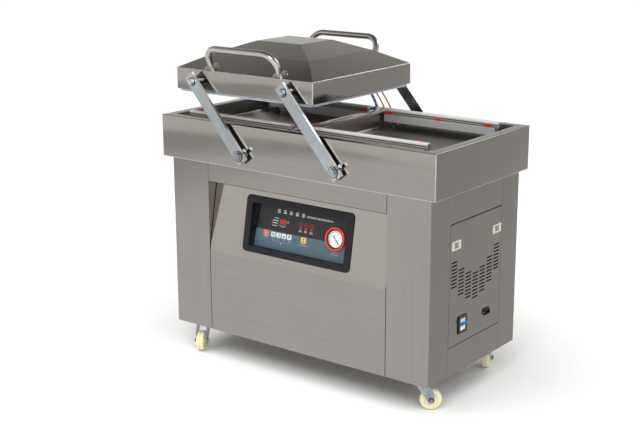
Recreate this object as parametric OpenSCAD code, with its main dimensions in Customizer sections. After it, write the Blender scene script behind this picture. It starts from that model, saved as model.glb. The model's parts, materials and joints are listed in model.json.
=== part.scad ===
// Double-chamber swing-lid vacuum packing machine on casters.
// Millimetres, +Z up, -Y is the operator's side.
// The origin is on the floor, below the middle of the table.
// The lid stands in its raised rest position over the left chamber.

/* [Table] */
// Length of the table skirt, left to right
table_length = 1260; // [1240:5:1280]
// Depth of the table skirt, front to back
table_depth = 642; // [636:2:650]
// Height of the table rim above the floor
table_height = 965; // [955:5:985]
// Height of the folded table skirt
skirt_height = 165; // [155:5:175]
// Width of the flat rim around the chambers
rim_width = 39; // [36:1:42]
// Depth of each chamber pan below the rim
chamber_depth = 60; // [54:2:70]
// Width of the bridge between the two chambers
divider_width = 60; // [54:2:64]

/* [Cabinet] */
// Length of the cabinet, left to right
cabinet_length = 1198; // [1190:2:1206]
// Depth of the cabinet, front to back
cabinet_depth = 606; // [602:2:610]
// How far the cabinet sits behind the middle of the table
cabinet_shift = 6.5; // [4:0.5:8]
// Height of the cabinet's lower edge above the floor
floor_gap = 119; // [117:1:123]
// Half the distance between the two front corner pillars
pillar_inner = 418; // [414:1:422]
// Height of the crease where the front panel starts to lean back
crease_height = 446; // [440:2:452]
// Backward lean of the upper front panel, in degrees
panel_lean = 10.3; // [9.5:0.1:11]
// Height of the fixed strip above the front panel
header_height = 76.5; // [70:0.5:82]
// Thickness of the cabinet sheet
sheet = 2; // [1.5:0.5:2.5]

/* [Lid and links] */
// Length of the lid, left to right
lid_length = 658; // [652:2:664]
// Depth of the lid, front to back
lid_depth = 623; // [618:1:626]
// Height of the lid's upright rim
lid_rim = 81; // [78:1:85]
// Rise of the steep lower slope of the lid
lower_rise = 55; // [50:1:60]
// Rise of the shallow upper slope of the lid
upper_rise = 41.5; // [36:0.5:46]
// Distance between the pivots of one link bar
link_reach = 341; // [339:1:343]
// Half the distance between the two link shafts
shaft_half_span = 220; // [218:1:222]
// Height of the link shafts above the floor
shaft_height = 853; // [850:1:856]
// Angle of the link bars above level at rest
link_rest_angle = 49.3; // [45:0.1:60]
// Height of the lid pivots above the lower edge of the lid
pivot_rise = 38.4; // [37.5:0.1:39.5]
// Width of a link bar
link_width = 45; // [42:1:47]
// Thickness of a link bar
link_thick = 12; // [11:0.5:12.5]

/* [Handles] */
// Diameter of the handle tube
handle_tube = 25; // [22:1:28]
// Half the distance between the feet of one handle
handle_half = 166; // [155:1:175]
// Height of a handle above the slope it stands on
handle_rise = 85; // [76:0.5:88]
// Radius of the handle's bends
handle_bend = 56; // [45:1:60]
// Wall thickness of the handle tube
handle_wall = 1.5; // [1:0.5:3]

/* [Seal bars] */
// Distance of each seal bar from the middle of the table
bar_offset = 240; // [236:1:244]
// Distance from the middle of the table to the near end of a bar
bar_start = 42; // [40:1:46]
// Length of a seal bar
bar_length = 506; // [500:2:510]
// Height of the sealing strip above the table rim
bar_proud = 14; // [12:0.5:15]

/* [Control panel] */
// Width of the control bezel
bezel_width = 505; // [500:1:512]
// Height of the control bezel
bezel_height = 219; // [215:1:224]
// Width of the bezel window
window_width = 448; // [444:1:452]
// Height of the bezel window
window_height = 165; // [162:1:168]
// Depth of the keypad behind the panel face
keypad_depth = 22; // [20:1:26]
// Travel of each key
key_travel = 0.8; // [0.5:0.1:1]
// Outer radius of the vacuum gauge
gauge_radius = 44; // [40:1:44]

/* [Side panel] */
// Rear offset of the side access panel's middle line
access_middle = 11; // [9:1:13]
// Width of the side access panel
access_width = 358; // [350:2:364]
// Height of the access panel's lower edge
access_low = 227; // [220:1:232]
// Height of the access panel's upper edge
access_high = 681.5; // [676:0.5:684]
// Length of one vent slot
vent_length = 39; // [34:1:42]
// Upright distance between two vent slots
vent_pitch = 13; // [12:0.5:14]

/* [Casters] */
// Diameter of a caster wheel
wheel_diameter = 80; // [76:1:82]
// Trail of the wheel behind the swivel
caster_trail = 38; // [34:1:40]
// Distance of the swivels from the cabinet's side faces
caster_inset = 75; // [72:1:80]

/* [Hidden] */
$fn = 48;

half_l = table_length / 2;
half_d = table_depth / 2;
skirt_low = table_height - skirt_height;
pan_floor = table_height - chamber_depth;
pan_x1 = half_l - rim_width - 1;
pan_y = half_d - rim_width;
bridge = divider_width / 2;

cab_x = cabinet_length / 2;
cab_front = cabinet_shift - cabinet_depth / 2;
cab_back = cabinet_shift + cabinet_depth / 2;
cab_top = skirt_low - 0.3;
base_top = floor_gap + 3;
seam_front = access_middle - access_width / 2 - 1;
seam_back = access_middle + access_width / 2 + 1;
rear_pillar = 478;
header_low = skirt_low - header_height;

swing_x = link_reach * cos(link_rest_angle);
swing_z = link_reach * sin(link_rest_angle);
lid_low = shaft_height + swing_z - pivot_rise;
lid_hx = lid_length / 2;
lid_hy = lid_depth / 2;
crease_x = lid_hx - 107;
crease_y = lid_hy - 111.5;
top_x = crease_x - 115;
top_y = crease_y - 103;
slope_angle = atan2(lower_rise, 111.5);
link_face = half_d + 12;
link_out = link_face + link_thick;
link_tail = 31;
shaft_r = 12;
stud_r = 8;

strip_top = table_height + bar_proud;
post_inset = 38;

key_w = 21;
key_h = 18.5;
key_row = 109;
key_depth = keypad_depth - key_travel - 0.4;
keys = [-163, -128, -102.3, -76.7, -51, 17];
gauge_x = 161.7;
gauge_s = 138;
window_mid = 135.3;
bezel_mid = 137.5;

breaker_y = -75;
breaker_z = 296.5;
inlet_y = 95;
inlet_z = 298;

axle_z = wheel_diameter / 2;
swivel_x = cab_x - caster_inset;
swivel_y = cabinet_depth / 2 - caster_inset + 3;
// each caster: side along x, side along y, direction of its trail
caster_fl = [-1, -1, -63.5];
caster_fr = [1, -1, 37.5];
caster_bl = [-1, 1, 205];
caster_br = [1, 1, 116.5];

// hose and heater leads: x on the rear wall, radius, start angle, and how
// far behind the table each one's arc lies, so that they pass one another
leads = [[-61, 6, 90, 29.8], [0, 2.8, 100, 19.3], [38, 2.8, 100, 12]];

steel = [0.66, 0.65, 0.62];
dark = [0.12, 0.12, 0.13];
zinc = [0.72, 0.75, 0.78];
nylon = [0.86, 0.82, 0.62];
white = [0.95, 0.95, 0.95];

// Helpers

module block(x0, x1, y0, y1, z0, z1) {
  translate([x0, y0, z0])
    cube([x1 - x0, y1 - y0, z1 - z0]);
}

module along_y(y0, y1, r) {
  translate([0, y0, 0])
    rotate([-90, 0, 0])
      cylinder(r = r, h = y1 - y0);
}

module hex_y(y0, y1, across) {
  translate([0, y0, 0])
    rotate([-90, 0, 0])
      cylinder(d = across / cos(30), h = y1 - y0, $fn = 6);
}

// The leaning panel's own frame: x right, y inwards, z up the slope
module on_panel() {
  translate([0, cab_front, crease_height])
    rotate([-panel_lean, 0, 0])
      children();
}

module rounded_plate(w, h, r, y0, y1) {
  translate([0, y1, 0])
    rotate([90, 0, 0])
      linear_extrude(height = y1 - y0)
        union() {
          square([w - 2 * r, h], center = true);
          square([w, h - 2 * r], center = true);
          for (sx = [-1, 1], sz = [-1, 1])
            translate([sx * (w / 2 - r), sz * (h / 2 - r)])
              circle(r = r);
        }
}

// Cabinet

module base_frame() {
  color(steel) {
    block(-cab_x + 2.3, cab_x - 2.3, cab_front + 2.3, cab_back - 2.3,
          floor_gap, base_top);
    for (y = [-120, 90])
      block(-560, 560, y, y + 30, base_top, base_top + 16);
  }
}

module front_pillar() {
  difference() {
    block(pillar_inner, cab_x, cab_front, seam_front, floor_gap, cab_top);
    block(pillar_inner - 1, cab_x - sheet, cab_front + sheet, seam_front + 1,
          floor_gap - 1, cab_top + 1);
  }
  block(pillar_inner, pillar_inner + sheet, cab_front + sheet,
        cab_front + 72, base_top + 0.3, cab_top);
}

module back_pillar() {
  difference() {
    block(rear_pillar, cab_x, seam_back, cab_back, floor_gap, cab_top);
    block(rear_pillar - 1, cab_x - sheet, seam_back - 1, cab_back - sheet,
          floor_gap - 1, cab_top + 1);
  }
}

module corner_pillars() {
  color(steel)
    for (s = [0, 1])
      mirror([s, 0, 0]) {
        front_pillar();
        back_pillar();
      }
}

module front_header() {
  color(steel) {
    block(-pillar_inner + 1.2, pillar_inner - 1.2, cab_front,
          cab_front + sheet, header_low, cab_top);
    block(-pillar_inner + 1.2, pillar_inner - 1.2, cab_front,
          cab_front + 14, header_low, header_low + sheet);
  }
}

module front_panel() {
  half_w = pillar_inner - 2.4;
  run = (cab_top - 8 - crease_height) / cos(panel_lean);
  inner = cab_front + sheet;
  color(steel)
    difference() {
      rotate([90, 0, 90])
        linear_extrude(height = 2 * half_w, center = true)
          polygon([[cab_front, floor_gap],
                   [inner, floor_gap],
                   [inner, crease_height - sheet * tan(panel_lean / 2)],
                   [cab_front + run * sin(panel_lean) + sheet * cos(panel_lean),
                    crease_height + run * cos(panel_lean) - sheet * sin(panel_lean)],
                   [cab_front + run * sin(panel_lean),
                    crease_height + run * cos(panel_lean)],
                   [cab_front, crease_height]]);
      on_panel()
        block(-window_width / 2 - 5, window_width / 2 + 5, -1, 5,
              window_mid - window_height / 2 - 5,
              window_mid + window_height / 2 + 5);
    }
}

module right_fixed_panels() {
  color(steel) {
    block(cab_x - sheet, cab_x, seam_front + 1, seam_back - 1,
          access_high + 3.5, cab_top);
    block(cab_x - sheet, cab_x, seam_front + 1, seam_back - 1,
          floor_gap, access_low - 1.8);
  }
}

module right_access_panel() {
  vent_y = 9.5;
  color(steel)
    difference() {
      block(cab_x - sheet, cab_x, seam_front + 1, seam_back - 1,
            access_low, access_high);
      // seven columns of eight slots, stepped up towards both sides
      for (c = [-3 : 3], k = [0 : 7])
        block(cab_x - sheet - 1, cab_x + 1,
              vent_y + c * 49.2 - vent_length / 2,
              vent_y + c * 49.2 + vent_length / 2,
              vent_top(abs(c)) - k * vent_pitch - 5,
              vent_top(abs(c)) - k * vent_pitch);
      block(cab_x - 5, cab_x + 1, breaker_y - 20, breaker_y + 20,
            breaker_z - 25, breaker_z + 25);
      block(cab_x - 5, cab_x + 1, inlet_y - 15, inlet_y + 15,
            inlet_z - 11, inlet_z + 11);
      for (y = [-128, 155])
        block(cab_x - 5, cab_x + 1, y - 16, y + 16, 593, 611);
    }
}

function vent_top(c) = 470 + 12.3 * c * (c + 1) / 2;

module left_side_panel() {
  color(steel)
    block(-cab_x, -cab_x + sheet, seam_front + 1, seam_back - 1,
          floor_gap, cab_top);
}

module rear_panel() {
  color(steel)
    difference() {
      block(-rear_pillar + 1, rear_pillar - 1, cab_back - sheet, cab_back,
            floor_gap, cab_top);
      for (k = [0 : 7], x = [-300, -230, 230, 300])
        block(x - 25, x + 25, cab_back - 5, cab_back + 1,
              300 + k * vent_pitch, 305 + k * vent_pitch);
    }
}

// Table

module table_shell() {
  color(steel)
    difference() {
      block(-half_l, half_l, -half_d, half_d, skirt_low, table_height);
      difference() {
        block(-half_l + sheet, half_l - sheet, -half_d + sheet,
              half_d - sheet, skirt_low + sheet, table_height - sheet);
        for (s = [0, 1])
          mirror([s, 0, 0])
            block(bridge - sheet, pan_x1 + sheet, -pan_y - sheet,
                  pan_y + sheet, pan_floor - sheet, table_height);
      }
      for (s = [0, 1])
        mirror([s, 0, 0])
          block(bridge, pan_x1, -pan_y, pan_y, pan_floor,
                table_height + 1);
      // opening into the cabinet
      block(-cab_x + 9, cab_x - 9, cab_front + 9, cab_back - 9,
            skirt_low - 1, skirt_low + sheet + 1);
      // shaft holes in the front and rear skirt
      for (s = [-1, 1])
        translate([s * shaft_half_span, 0, shaft_height])
          along_y(-half_d - 1, half_d + 1, 15);
      // evacuation slot in the bridge
      block(-8, -4.5, -53, 80, table_height - 5, table_height + 1);
      // holes for the hose and the two heater leads
      for (lead = leads)
        translate([lead[0], 0, shaft_height])
          along_y(half_d - 5, half_d + 1, lead[1] + 0.6);
    }
}

module shaft_bearings() {
  color(zinc)
    for (s = [-1, 1], f = [0, 1])
      translate([s * shaft_half_span, 0, shaft_height])
        mirror([0, f, 0])
          difference() {
            union() {
              along_y(half_d - 12, half_d, 15);
              along_y(half_d, half_d + 5.5, 22);
            }
            along_y(half_d - 13, half_d + 6, shaft_r + 0.05);
          }
}

// Seal bars in the chambers

module each_bar() {
  for (sx = [0, 1], sy = [0, 1])
    mirror([sx, 0, 0])
      mirror([0, sy, 0])
        translate([0, bar_offset, 0])
          children();
}

module seal_bars() {
  color([0.75, 0.76, 0.77])
    each_bar()
      difference() {
        union() {
          block(bar_start, bar_start + bar_length - 12, -14, 14,
                table_height - 36, table_height - 8);
          block(bar_start, bar_start + bar_length, -9, 9,
                table_height - 8, table_height + 6);
        }
        block(bar_start - 1, bar_start + bar_length + 1, -11, 11,
              table_height - 37, table_height - 20);
      }
}

module seal_strips() {
  color([0.93, 0.94, 0.93])
    each_bar() {
      block(bar_start, bar_start + bar_length, -11, 11,
            table_height + 6, strip_top - 2);
      block(bar_start, bar_start + bar_length, -9.5, 9.5,
            strip_top - 2, strip_top);
    }
}

module bag_clips() {
  color([0.8, 0.08, 0.06])
    each_bar()
      for (c = [[4, 33], [239, 18], [447, 33]])
        block(bar_start + c[0], bar_start + c[0] + c[1], -13, -9,
              table_height - 4, table_height + 5.8);
}

module bar_terminals() {
  color([0.7, 0.6, 0.4])
    each_bar()
      for (f = [0, 1])
        translate([bar_start + bar_length / 2, 0, table_height])
          mirror([f, 0, 0])
            rotate([0, 90, 0]) {
              translate([-11, -6, bar_length / 2])
                cube([18, 12, 1.5]);
              translate([0, 0, bar_length / 2 + 1.5])
                cylinder(r = 3, h = 3);
            }
}

module bar_posts() {
  color(dark)
    each_bar()
      for (x = [bar_start + post_inset, bar_start + bar_length - post_inset])
        translate([x, 0, pan_floor]) {
          cylinder(r = 15, h = 3);
          cylinder(r = 9, h = chamber_depth - 20);
        }
}

// Control panel

module control_bezel() {
  color(dark)
    on_panel()
      difference() {
        union() {
          translate([0, 0, bezel_mid])
            rounded_plate(bezel_width, bezel_height, 18, -4, 0);
          block(-window_width / 2 - 3, window_width / 2 + 3, 0,
                keypad_depth + 5, window_mid - window_height / 2 - 3,
                window_mid + window_height / 2 + 3);
        }
        block(-window_width / 2, window_width / 2, -5, keypad_depth + 6,
              window_mid - window_height / 2,
              window_mid + window_height / 2);
      }
}

module control_membrane() {
  color([0.2, 0.27, 0.32])
    on_panel()
      difference() {
        block(-window_width / 2 + 0.2, window_width / 2 - 0.2,
              keypad_depth, keypad_depth + 1.5,
              window_mid - window_height / 2 + 0.2,
              window_mid + window_height / 2 - 0.2);
        for (x = keys)
          block(x - key_w / 2 - 0.4, x + key_w / 2 + 0.4,
                keypad_depth - 1, keypad_depth + 3,
                key_row - key_h / 2 - 0.4, key_row + key_h / 2 + 0.4);
      }
}

module key_cap(i) {
  on_panel()
    translate([keys[i], 0, key_row])
      rounded_plate(key_w, key_h, 2.5, key_depth, keypad_depth + 1.2);
}

module panel_indicators() {
  color([0.6, 0.03, 0.02])
    on_panel() {
      block(-103, -65, keypad_depth - 0.8, keypad_depth, 151, 173);
      for (x = [-3, 22.3, 48]) {
        translate([x, 0, 164.5])
          difference() {
            along_y(keypad_depth - 0.4, keypad_depth, 9.8);
            along_y(keypad_depth - 1, keypad_depth + 1, 8.6);
          }
        translate([x, 0, 151])
          along_y(keypad_depth - 0.8, keypad_depth, 3.6);
      }
    }
}

module on_gauge() {
  on_panel()
    translate([gauge_x, 0, gauge_s])
      children();
}

module gauge_ring() {
  color([0.8, 0.1, 0.08])
    on_gauge()
      difference() {
        union() {
          along_y(keypad_depth - 8, keypad_depth, gauge_radius);
          along_y(keypad_depth - 9, keypad_depth - 7, gauge_radius - 2);
        }
        along_y(keypad_depth - 10, keypad_depth + 1, 31.5);
        along_y(keypad_depth - 10, keypad_depth - 6, 35.5);
      }
}

module gauge_dial() {
  color([0.95, 0.95, 0.94])
    on_gauge() {
      along_y(keypad_depth - 1.6, keypad_depth, 31.2);
      along_y(keypad_depth - 4, keypad_depth - 1.6, 0.8);
    }
}

module gauge_glass() {
  color([0.8, 0.9, 0.95, 0.3])
    on_gauge()
      along_y(keypad_depth - 5.9, keypad_depth - 4.9, 31.2);
}

module gauge_needle() {
  color([0.05, 0.05, 0.05])
    on_gauge()
      rotate([0, 47, 0])
        difference() {
          union() {
            along_y(keypad_depth - 3.4, keypad_depth - 2.4, 3);
            block(-12, 24, keypad_depth - 3.4, keypad_depth - 2.4, -0.9, 0.9);
          }
          along_y(keypad_depth - 4, keypad_depth - 2, 0.85);
        }
}

// Fittings on the side panel

module breaker_frame() {
  color(dark)
    difference() {
      block(cab_x, cab_x + 5, breaker_y - 28, breaker_y + 28,
            breaker_z - 33, breaker_z + 33);
      block(cab_x - 1, cab_x + 6, breaker_y - 18.4, breaker_y + 18.4,
            breaker_z - 22.9, breaker_z + 22.9);
    }
}

module breaker_body() {
  color([0.9, 0.9, 0.88])
    difference() {
      union() {
        block(cab_x - 45, cab_x + 3, breaker_y - 18, breaker_y + 18,
              breaker_z - 22.5, breaker_z + 22.5);
        block(cab_x - 45, cab_x - 8, breaker_y - 18, breaker_y + 18,
              breaker_z - 40, breaker_z + 40);
      }
      translate([cab_x + 1, 0, breaker_z])
        along_y(breaker_y - 14.5, breaker_y + 14.5, 7.5);
    }
}

module breaker_toggle() {
  color([0.05, 0.25, 0.7])
    translate([cab_x + 1, 0, breaker_z]) {
      along_y(breaker_y - 14, breaker_y + 14, 7);
      rotate([0, -32, 0]) {
        for (y = [-9, 9])
          block(0, 16, breaker_y + y - 4, breaker_y + y + 4, -2.5, 2.5);
        block(12, 19, breaker_y - 16, breaker_y + 16, -3, 3);
      }
    }
}

module power_inlet() {
  color(dark)
    difference() {
      union() {
        block(cab_x, cab_x + 3.5, inlet_y - 25, inlet_y + 25,
              inlet_z - 13.5, inlet_z + 13.5);
        block(cab_x - 22, cab_x, inlet_y - 14, inlet_y + 14,
              inlet_z - 10, inlet_z + 10);
        for (y = [-8, 0, 8])
          block(cab_x - 20, cab_x - 2, inlet_y + y - 1, inlet_y + y + 1,
                inlet_z + (y == 0 ? 1 : -4), inlet_z + (y == 0 ? 5 : 0));
      }
      difference() {
        block(cab_x - 18, cab_x + 5, inlet_y - 12.2, inlet_y + 12.2,
              inlet_z - 8, inlet_z + 8);
        for (y = [-8, 0, 8])
          block(cab_x - 20, cab_x - 2, inlet_y + y - 1, inlet_y + y + 1,
                inlet_z + (y == 0 ? 1 : -4), inlet_z + (y == 0 ? 5 : 0));
      }
      for (y = [-20, 20])
        translate([cab_x - 1, inlet_y + y, inlet_z])
          rotate([0, 90, 0])
            cylinder(r = 1.8, h = 6);
    }
}

module latch_frames() {
  color([0.93, 0.92, 0.88])
    for (y = [-128, 155])
      difference() {
        union() {
          block(cab_x, cab_x + 2, y - 30, y + 30, 585.5, 618.5);
          block(cab_x - 9, cab_x, y - 15.5, y + 15.5, 593.5, 610.5);
        }
        block(cab_x - 7, cab_x + 3, y - 11, y + 11, 594.5, 609.5);
      }
}

// Inside the cabinet

module vacuum_pump() {
  rail_top = base_top + 16;
  color([0.3, 0.32, 0.36])
    translate([-120, 0, rail_top]) {
      block(-150, 150, -118, 118, 0, 12);
      block(-150, 10, -90, 90, 12, 190);
      block(-140, -20, -80, 80, 190, 230);
      translate([10, 0, 105])
        rotate([0, 90, 0]) {
          cylinder(r = 88, h = 18);
          cylinder(r = 78, h = 230);
        }
      block(60, 200, -60, 60, 12, 40);
      translate([-80, 0, 230])
        cylinder(r = 26, h = 50);
    }
}

module transformers() {
  color([0.45, 0.3, 0.2])
    for (x = [250, 400])
      translate([x, -15, base_top + 16]) {
        block(-50, 50, -110, 110, 0, 6);
        block(-50, 50, -55, 55, 6, 106);
        block(-35, 35, -75, 75, 24, 88);
      }
}

// Links that carry the lid

// A link bar lies in its own frame, lower pivot at the origin, arm along +Z,
// outer face towards -Y
module link_bar() {
  difference() {
    block(-link_width / 2, link_width / 2, -link_out, -link_face,
          -link_tail, link_reach + link_tail);
    along_y(-link_out - 1, -link_face + 1, shaft_r);
    translate([0, 0, link_reach])
      along_y(-link_out - 1, -link_face + 1, stud_r + 0.05);
    // split that lets the end clamp on the shaft
    block(-1.5, 1.5, -link_out - 1, -link_face + 1, -link_tail - 1, 0);
    // clamp screw across the split, with a counterbore for its head
    translate([-link_width, -(link_out + link_face) / 2, -19])
      rotate([0, 90, 0])
        cylinder(r = 3, h = 2 * link_width);
    translate([link_width / 2 - 6, -(link_out + link_face) / 2, -19])
      rotate([0, 90, 0])
        cylinder(r = 5, h = 10);
    // set screw onto the shaft
    translate([0, -(link_out + link_face) / 2, 1])
      rotate([0, 90, 0])
        cylinder(r = 4, h = link_width);
  }
}

module at_link(side, rear) {
  translate([side * shaft_half_span, 0, shaft_height])
    mirror([0, rear, 0])
      rotate([0, link_rest_angle - 90, 0])
        children();
}

module link_screws() {
  mid = -(link_out + link_face) / 2;
  // pressure washer and hex screw on the end of the shaft
  difference() {
    union() {
      along_y(-link_out - 2.5, -link_out, 19);
      hex_y(-link_out - 11, -link_out - 2.5, 24);
    }
    along_y(-link_out - 14, -link_out - 8, 5);
  }
  translate([-link_width / 2 - 4, mid, -19])
    rotate([0, 90, 0]) {
      cylinder(r = 3, h = link_width - 3);
      cylinder(d = 11, h = 4, $fn = 6);
    }
  translate([link_width / 2 - 5.5, mid, -19])
    rotate([0, 90, 0])
      difference() {
        cylinder(r = 4.8, h = 6);
        translate([0, 0, 3])
          cylinder(d = 5, h = 4, $fn = 6);
      }
  translate([shaft_r, mid, 1])
    rotate([0, 90, 0]) {
      cylinder(r = 4, h = link_width / 2 - shaft_r + 9);
      translate([0, 0, link_width / 2 - shaft_r + 1])
        cylinder(d = 16, h = 5, $fn = 6);
      translate([0, 0, link_width / 2 - shaft_r + 8])
        cylinder(d = 17, h = 7, $fn = 6);
    }
}

module link_shaft() {
  along_y(-link_out, link_out, shaft_r);
  for (f = [0, 1])
    mirror([0, f, 0])
      along_y(half_d + 6, link_face, 17);
  // collars inside the table
  for (f = [0, 1])
    mirror([0, f, 0])
      along_y(half_d - 32, half_d - 14, 20);
}

module shaft_right() {
  color(zinc)
    translate([shaft_half_span, 0, shaft_height])
      link_shaft();
}

module shaft_left() {
  color(zinc)
    translate([-shaft_half_span, 0, shaft_height])
      link_shaft();
}

module link_front_right() {
  color(zinc)
    at_link(1, 0)
      link_bar();
}

module link_rear_right() {
  color(zinc)
    at_link(1, 1)
      link_bar();
}

module link_front_left() {
  color(zinc)
    at_link(-1, 0)
      link_bar();
}

module link_rear_left() {
  color(zinc)
    at_link(-1, 1)
      link_bar();
}

module clamp_bolts_right() {
  color(zinc)
    for (rear = [0, 1])
      at_link(1, rear)
        link_screws();
}

module clamp_bolts_left() {
  color(zinc)
    for (rear = [0, 1])
      at_link(-1, rear)
        link_screws();
}

// Lid: its own frame has the middle of the lower edge at the origin

module on_lid() {
  translate([-swing_x, 0, lid_low])
    children();
}

module slab(hx, hy, z) {
  translate([-hx, -hy, z])
    cube([2 * hx, 2 * hy, 0.01]);
}

module dome(inset, drop) {
  hull() {
    slab(lid_hx - inset, lid_hy - inset, lid_rim - drop);
    slab(crease_x - inset * 0.6, crease_y - inset * 0.6,
         lid_rim + lower_rise - drop);
  }
  hull() {
    slab(crease_x - inset * 0.6, crease_y - inset * 0.6,
         lid_rim + lower_rise - drop);
    slab(top_x - inset * 0.3, top_y - inset * 0.3,
         lid_rim + lower_rise + upper_rise - drop);
  }
}

module lid_shell() {
  color(steel)
    on_lid()
      difference() {
        union() {
          block(-lid_hx, lid_hx, -lid_hy, lid_hy, 0, lid_rim);
          dome(0, 0);
        }
        block(-lid_hx + 34, lid_hx - 34, -lid_hy + 34, lid_hy - 34, -1, 3);
        block(-lid_hx + sheet, lid_hx - sheet, -lid_hy + sheet,
              lid_hy - sheet, sheet, lid_rim - 1.9);
        dome(sheet, 2);
        for (sx = [-1, 1])
          translate([sx * shaft_half_span, 0, pivot_rise])
            along_y(-lid_hy - 1, lid_hy + 1, stud_r);
        for (lead = leads)
          translate([lead[0], 0, pivot_rise])
            along_y(lid_hy - 5, lid_hy + 1, lead[1] + 0.6);
      }
}

module lid_gasket() {
  color([0.75, 0.82, 0.87])
    on_lid()
      difference() {
        block(-lid_hx + 5, lid_hx - 5, -lid_hy + 5, lid_hy - 5, -8, 0);
        block(-lid_hx + 25, lid_hx - 25, -lid_hy + 25, lid_hy - 25, -9, 1);
      }
}

// The handle's line as a round bar of the given diameter
module handle_line(d, low) {
  for (s = [0, 1])
    mirror([s, 0, 0]) {
      translate([handle_half, 0, low])
        cylinder(d = d, h = handle_rise - handle_bend - low);
      translate([handle_half - handle_bend, 0, handle_rise - handle_bend])
        rotate([90, 0, 0])
          rotate_extrude(angle = 90)
            translate([handle_bend, 0])
              circle(d = d);
      translate([0, 0, handle_rise])
        rotate([0, 90, 0])
          cylinder(d = d, h = handle_half - handle_bend);
    }
}

module handle_loop() {
  difference() {
    union() {
      handle_line(handle_tube, 0);
      for (s = [-1, 1])
        translate([s * handle_half, 0, 0]) {
          cylinder(r = 29, h = 2.5);
          cylinder(r = 17, h = 6);
        }
    }
    handle_line(handle_tube - 2 * handle_wall, -1);
  }
}

module lid_handles() {
  foot_y = lid_hy - 20;
  color(steel)
    on_lid()
      for (f = [0, 1])
        mirror([0, f, 0])
          translate([0, -foot_y, lid_rim + 20 * tan(slope_angle) + 0.02])
            rotate([slope_angle, 0, 0])
              handle_loop();
}

module lid_pivot_studs() {
  color(zinc)
    on_lid()
      for (sx = [-1, 1], f = [0, 1])
        translate([sx * shaft_half_span, 0, pivot_rise])
          mirror([0, f, 0]) {
            along_y(-link_out - 14, -lid_hy + 14, stud_r);
            along_y(-link_face + 0.4, -lid_hy, 15);
            hex_y(-lid_hy + sheet, -lid_hy + 12, 24);
            along_y(-link_out - 2.8, -link_out - 0.4, 14);
            hex_y(-link_out - 11, -link_out - 2.8, 22);
          }
}

module lid_seal_bars() {
  color([0.8, 0.8, 0.8])
    on_lid()
      for (f = [0, 1])
        mirror([0, f, 0]) {
          block(-250, 250, -bar_offset - 11, -bar_offset + 11, 15, 20);
          block(-250, 250, -bar_offset - 14, -bar_offset + 14, 20, 40);
          for (x = [-190, 190])
            translate([x, -bar_offset, 40])
              cylinder(r = 8, h = lid_rim - 10);
        }
}

// Hose and heater leads, each an arc from the table's rear wall to the lid's

// Elbow between the y axis and a line that leaves it at the given angle,
// with a collar over each end
module elbow(angle, e, r) {
  rotate([0, -angle, 0]) {
    translate([e, -e, 0])
      rotate([0, 0, 91])
        rotate_extrude(angle = 88)
          translate([e, 0])
            circle(r = r);
    along_y(-e - 2, -e + 1, r + 1);
    translate([e - 1, 0, 0])
      rotate([0, 90, 0])
        cylinder(r = r + 0.5, h = 10);
  }
}

module lead_line(i) {
  r = leads[i][1];
  start = leads[i][2];
  e = r + 6;
  half_turn = 180 - link_rest_angle - start;
  bend = (link_reach / 2 - e * cos(half_turn)) / sin(half_turn);
  plane_y = half_d + leads[i][3];
  translate([leads[i][0], 0, shaft_height]) {
    along_y(half_d - 12, plane_y - e, r);
    translate([0, plane_y, 0])
      elbow(start, e, r);
    translate([e * cos(start) - bend * sin(start), plane_y,
               e * sin(start) + bend * cos(start)])
      rotate([90, 0, 0])
        rotate([0, 0, start - 90])
          rotate_extrude(angle = 2 * half_turn)
            translate([bend, 0])
              circle(r = r);
    translate([-swing_x, plane_y, swing_z])
      elbow(start + 2 * half_turn + 180, e, r);
    translate([-swing_x, 0, swing_z])
      along_y(lid_hy - 10, plane_y - e, r);
  }
}

module lid_air_hose() {
  color([0.45, 0.42, 0.7])
    lead_line(0);
}

module heater_lead_left() {
  color([0.6, 0.4, 0.2])
    lead_line(1);
}

module heater_lead_right() {
  color([0.6, 0.4, 0.2])
    lead_line(2);
}

// Casters

module at_caster(c) {
  translate([c[0] * swivel_x, cabinet_shift - 3 + c[1] * swivel_y, 0])
    rotate([0, 0, c[2]])
      children();
}

module caster_plates() {
  color(zinc)
    for (c = [caster_fl, caster_fr, caster_bl, caster_br])
      at_caster(c)
        difference() {
          union() {
            rotate([0, 0, -c[2]])
              block(-36, 36, -36, 36, floor_gap - 3, floor_gap);
            translate([0, 0, floor_gap - 10])
              cylinder(r = 24, h = 7);
            translate([0, 0, floor_gap - 18])
              cylinder(r = 6, h = 8);
            translate([0, 0, floor_gap - 22])
              cylinder(r = 9, h = 4);
          }
        }
}

module fork() {
  top = floor_gap - 10.4;
  difference() {
    translate([0, 0, top - 4])
      cylinder(r = 26, h = 4);
    translate([0, 0, top - 5])
      cylinder(r = 6.05, h = 6);
  }
  for (f = [0, 1])
    mirror([0, f, 0])
      translate([0, 22.5, 0])
        rotate([90, 0, 0])
          linear_extrude(height = 3) {
            polygon([[-14, top], [26, top], [caster_trail + 12, axle_z + 22],
                     [caster_trail + 12, axle_z], [caster_trail, axle_z - 12],
                     [caster_trail - 10.5, axle_z - 6], [-14, top - 14]]);
            translate([caster_trail, axle_z])
              circle(r = 12);
          }
  difference() {
    block(-14, 26, -22.5, 22.5, top - 4, top);
    translate([0, 0, top - 5])
      cylinder(r = 6.05, h = 6);
  }
  translate([caster_trail, 0, axle_z]) {
    along_y(-22, 22, 5);
    hex_y(-28, -22.5, 15);
    hex_y(22.5, 28, 15);
  }
}

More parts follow.
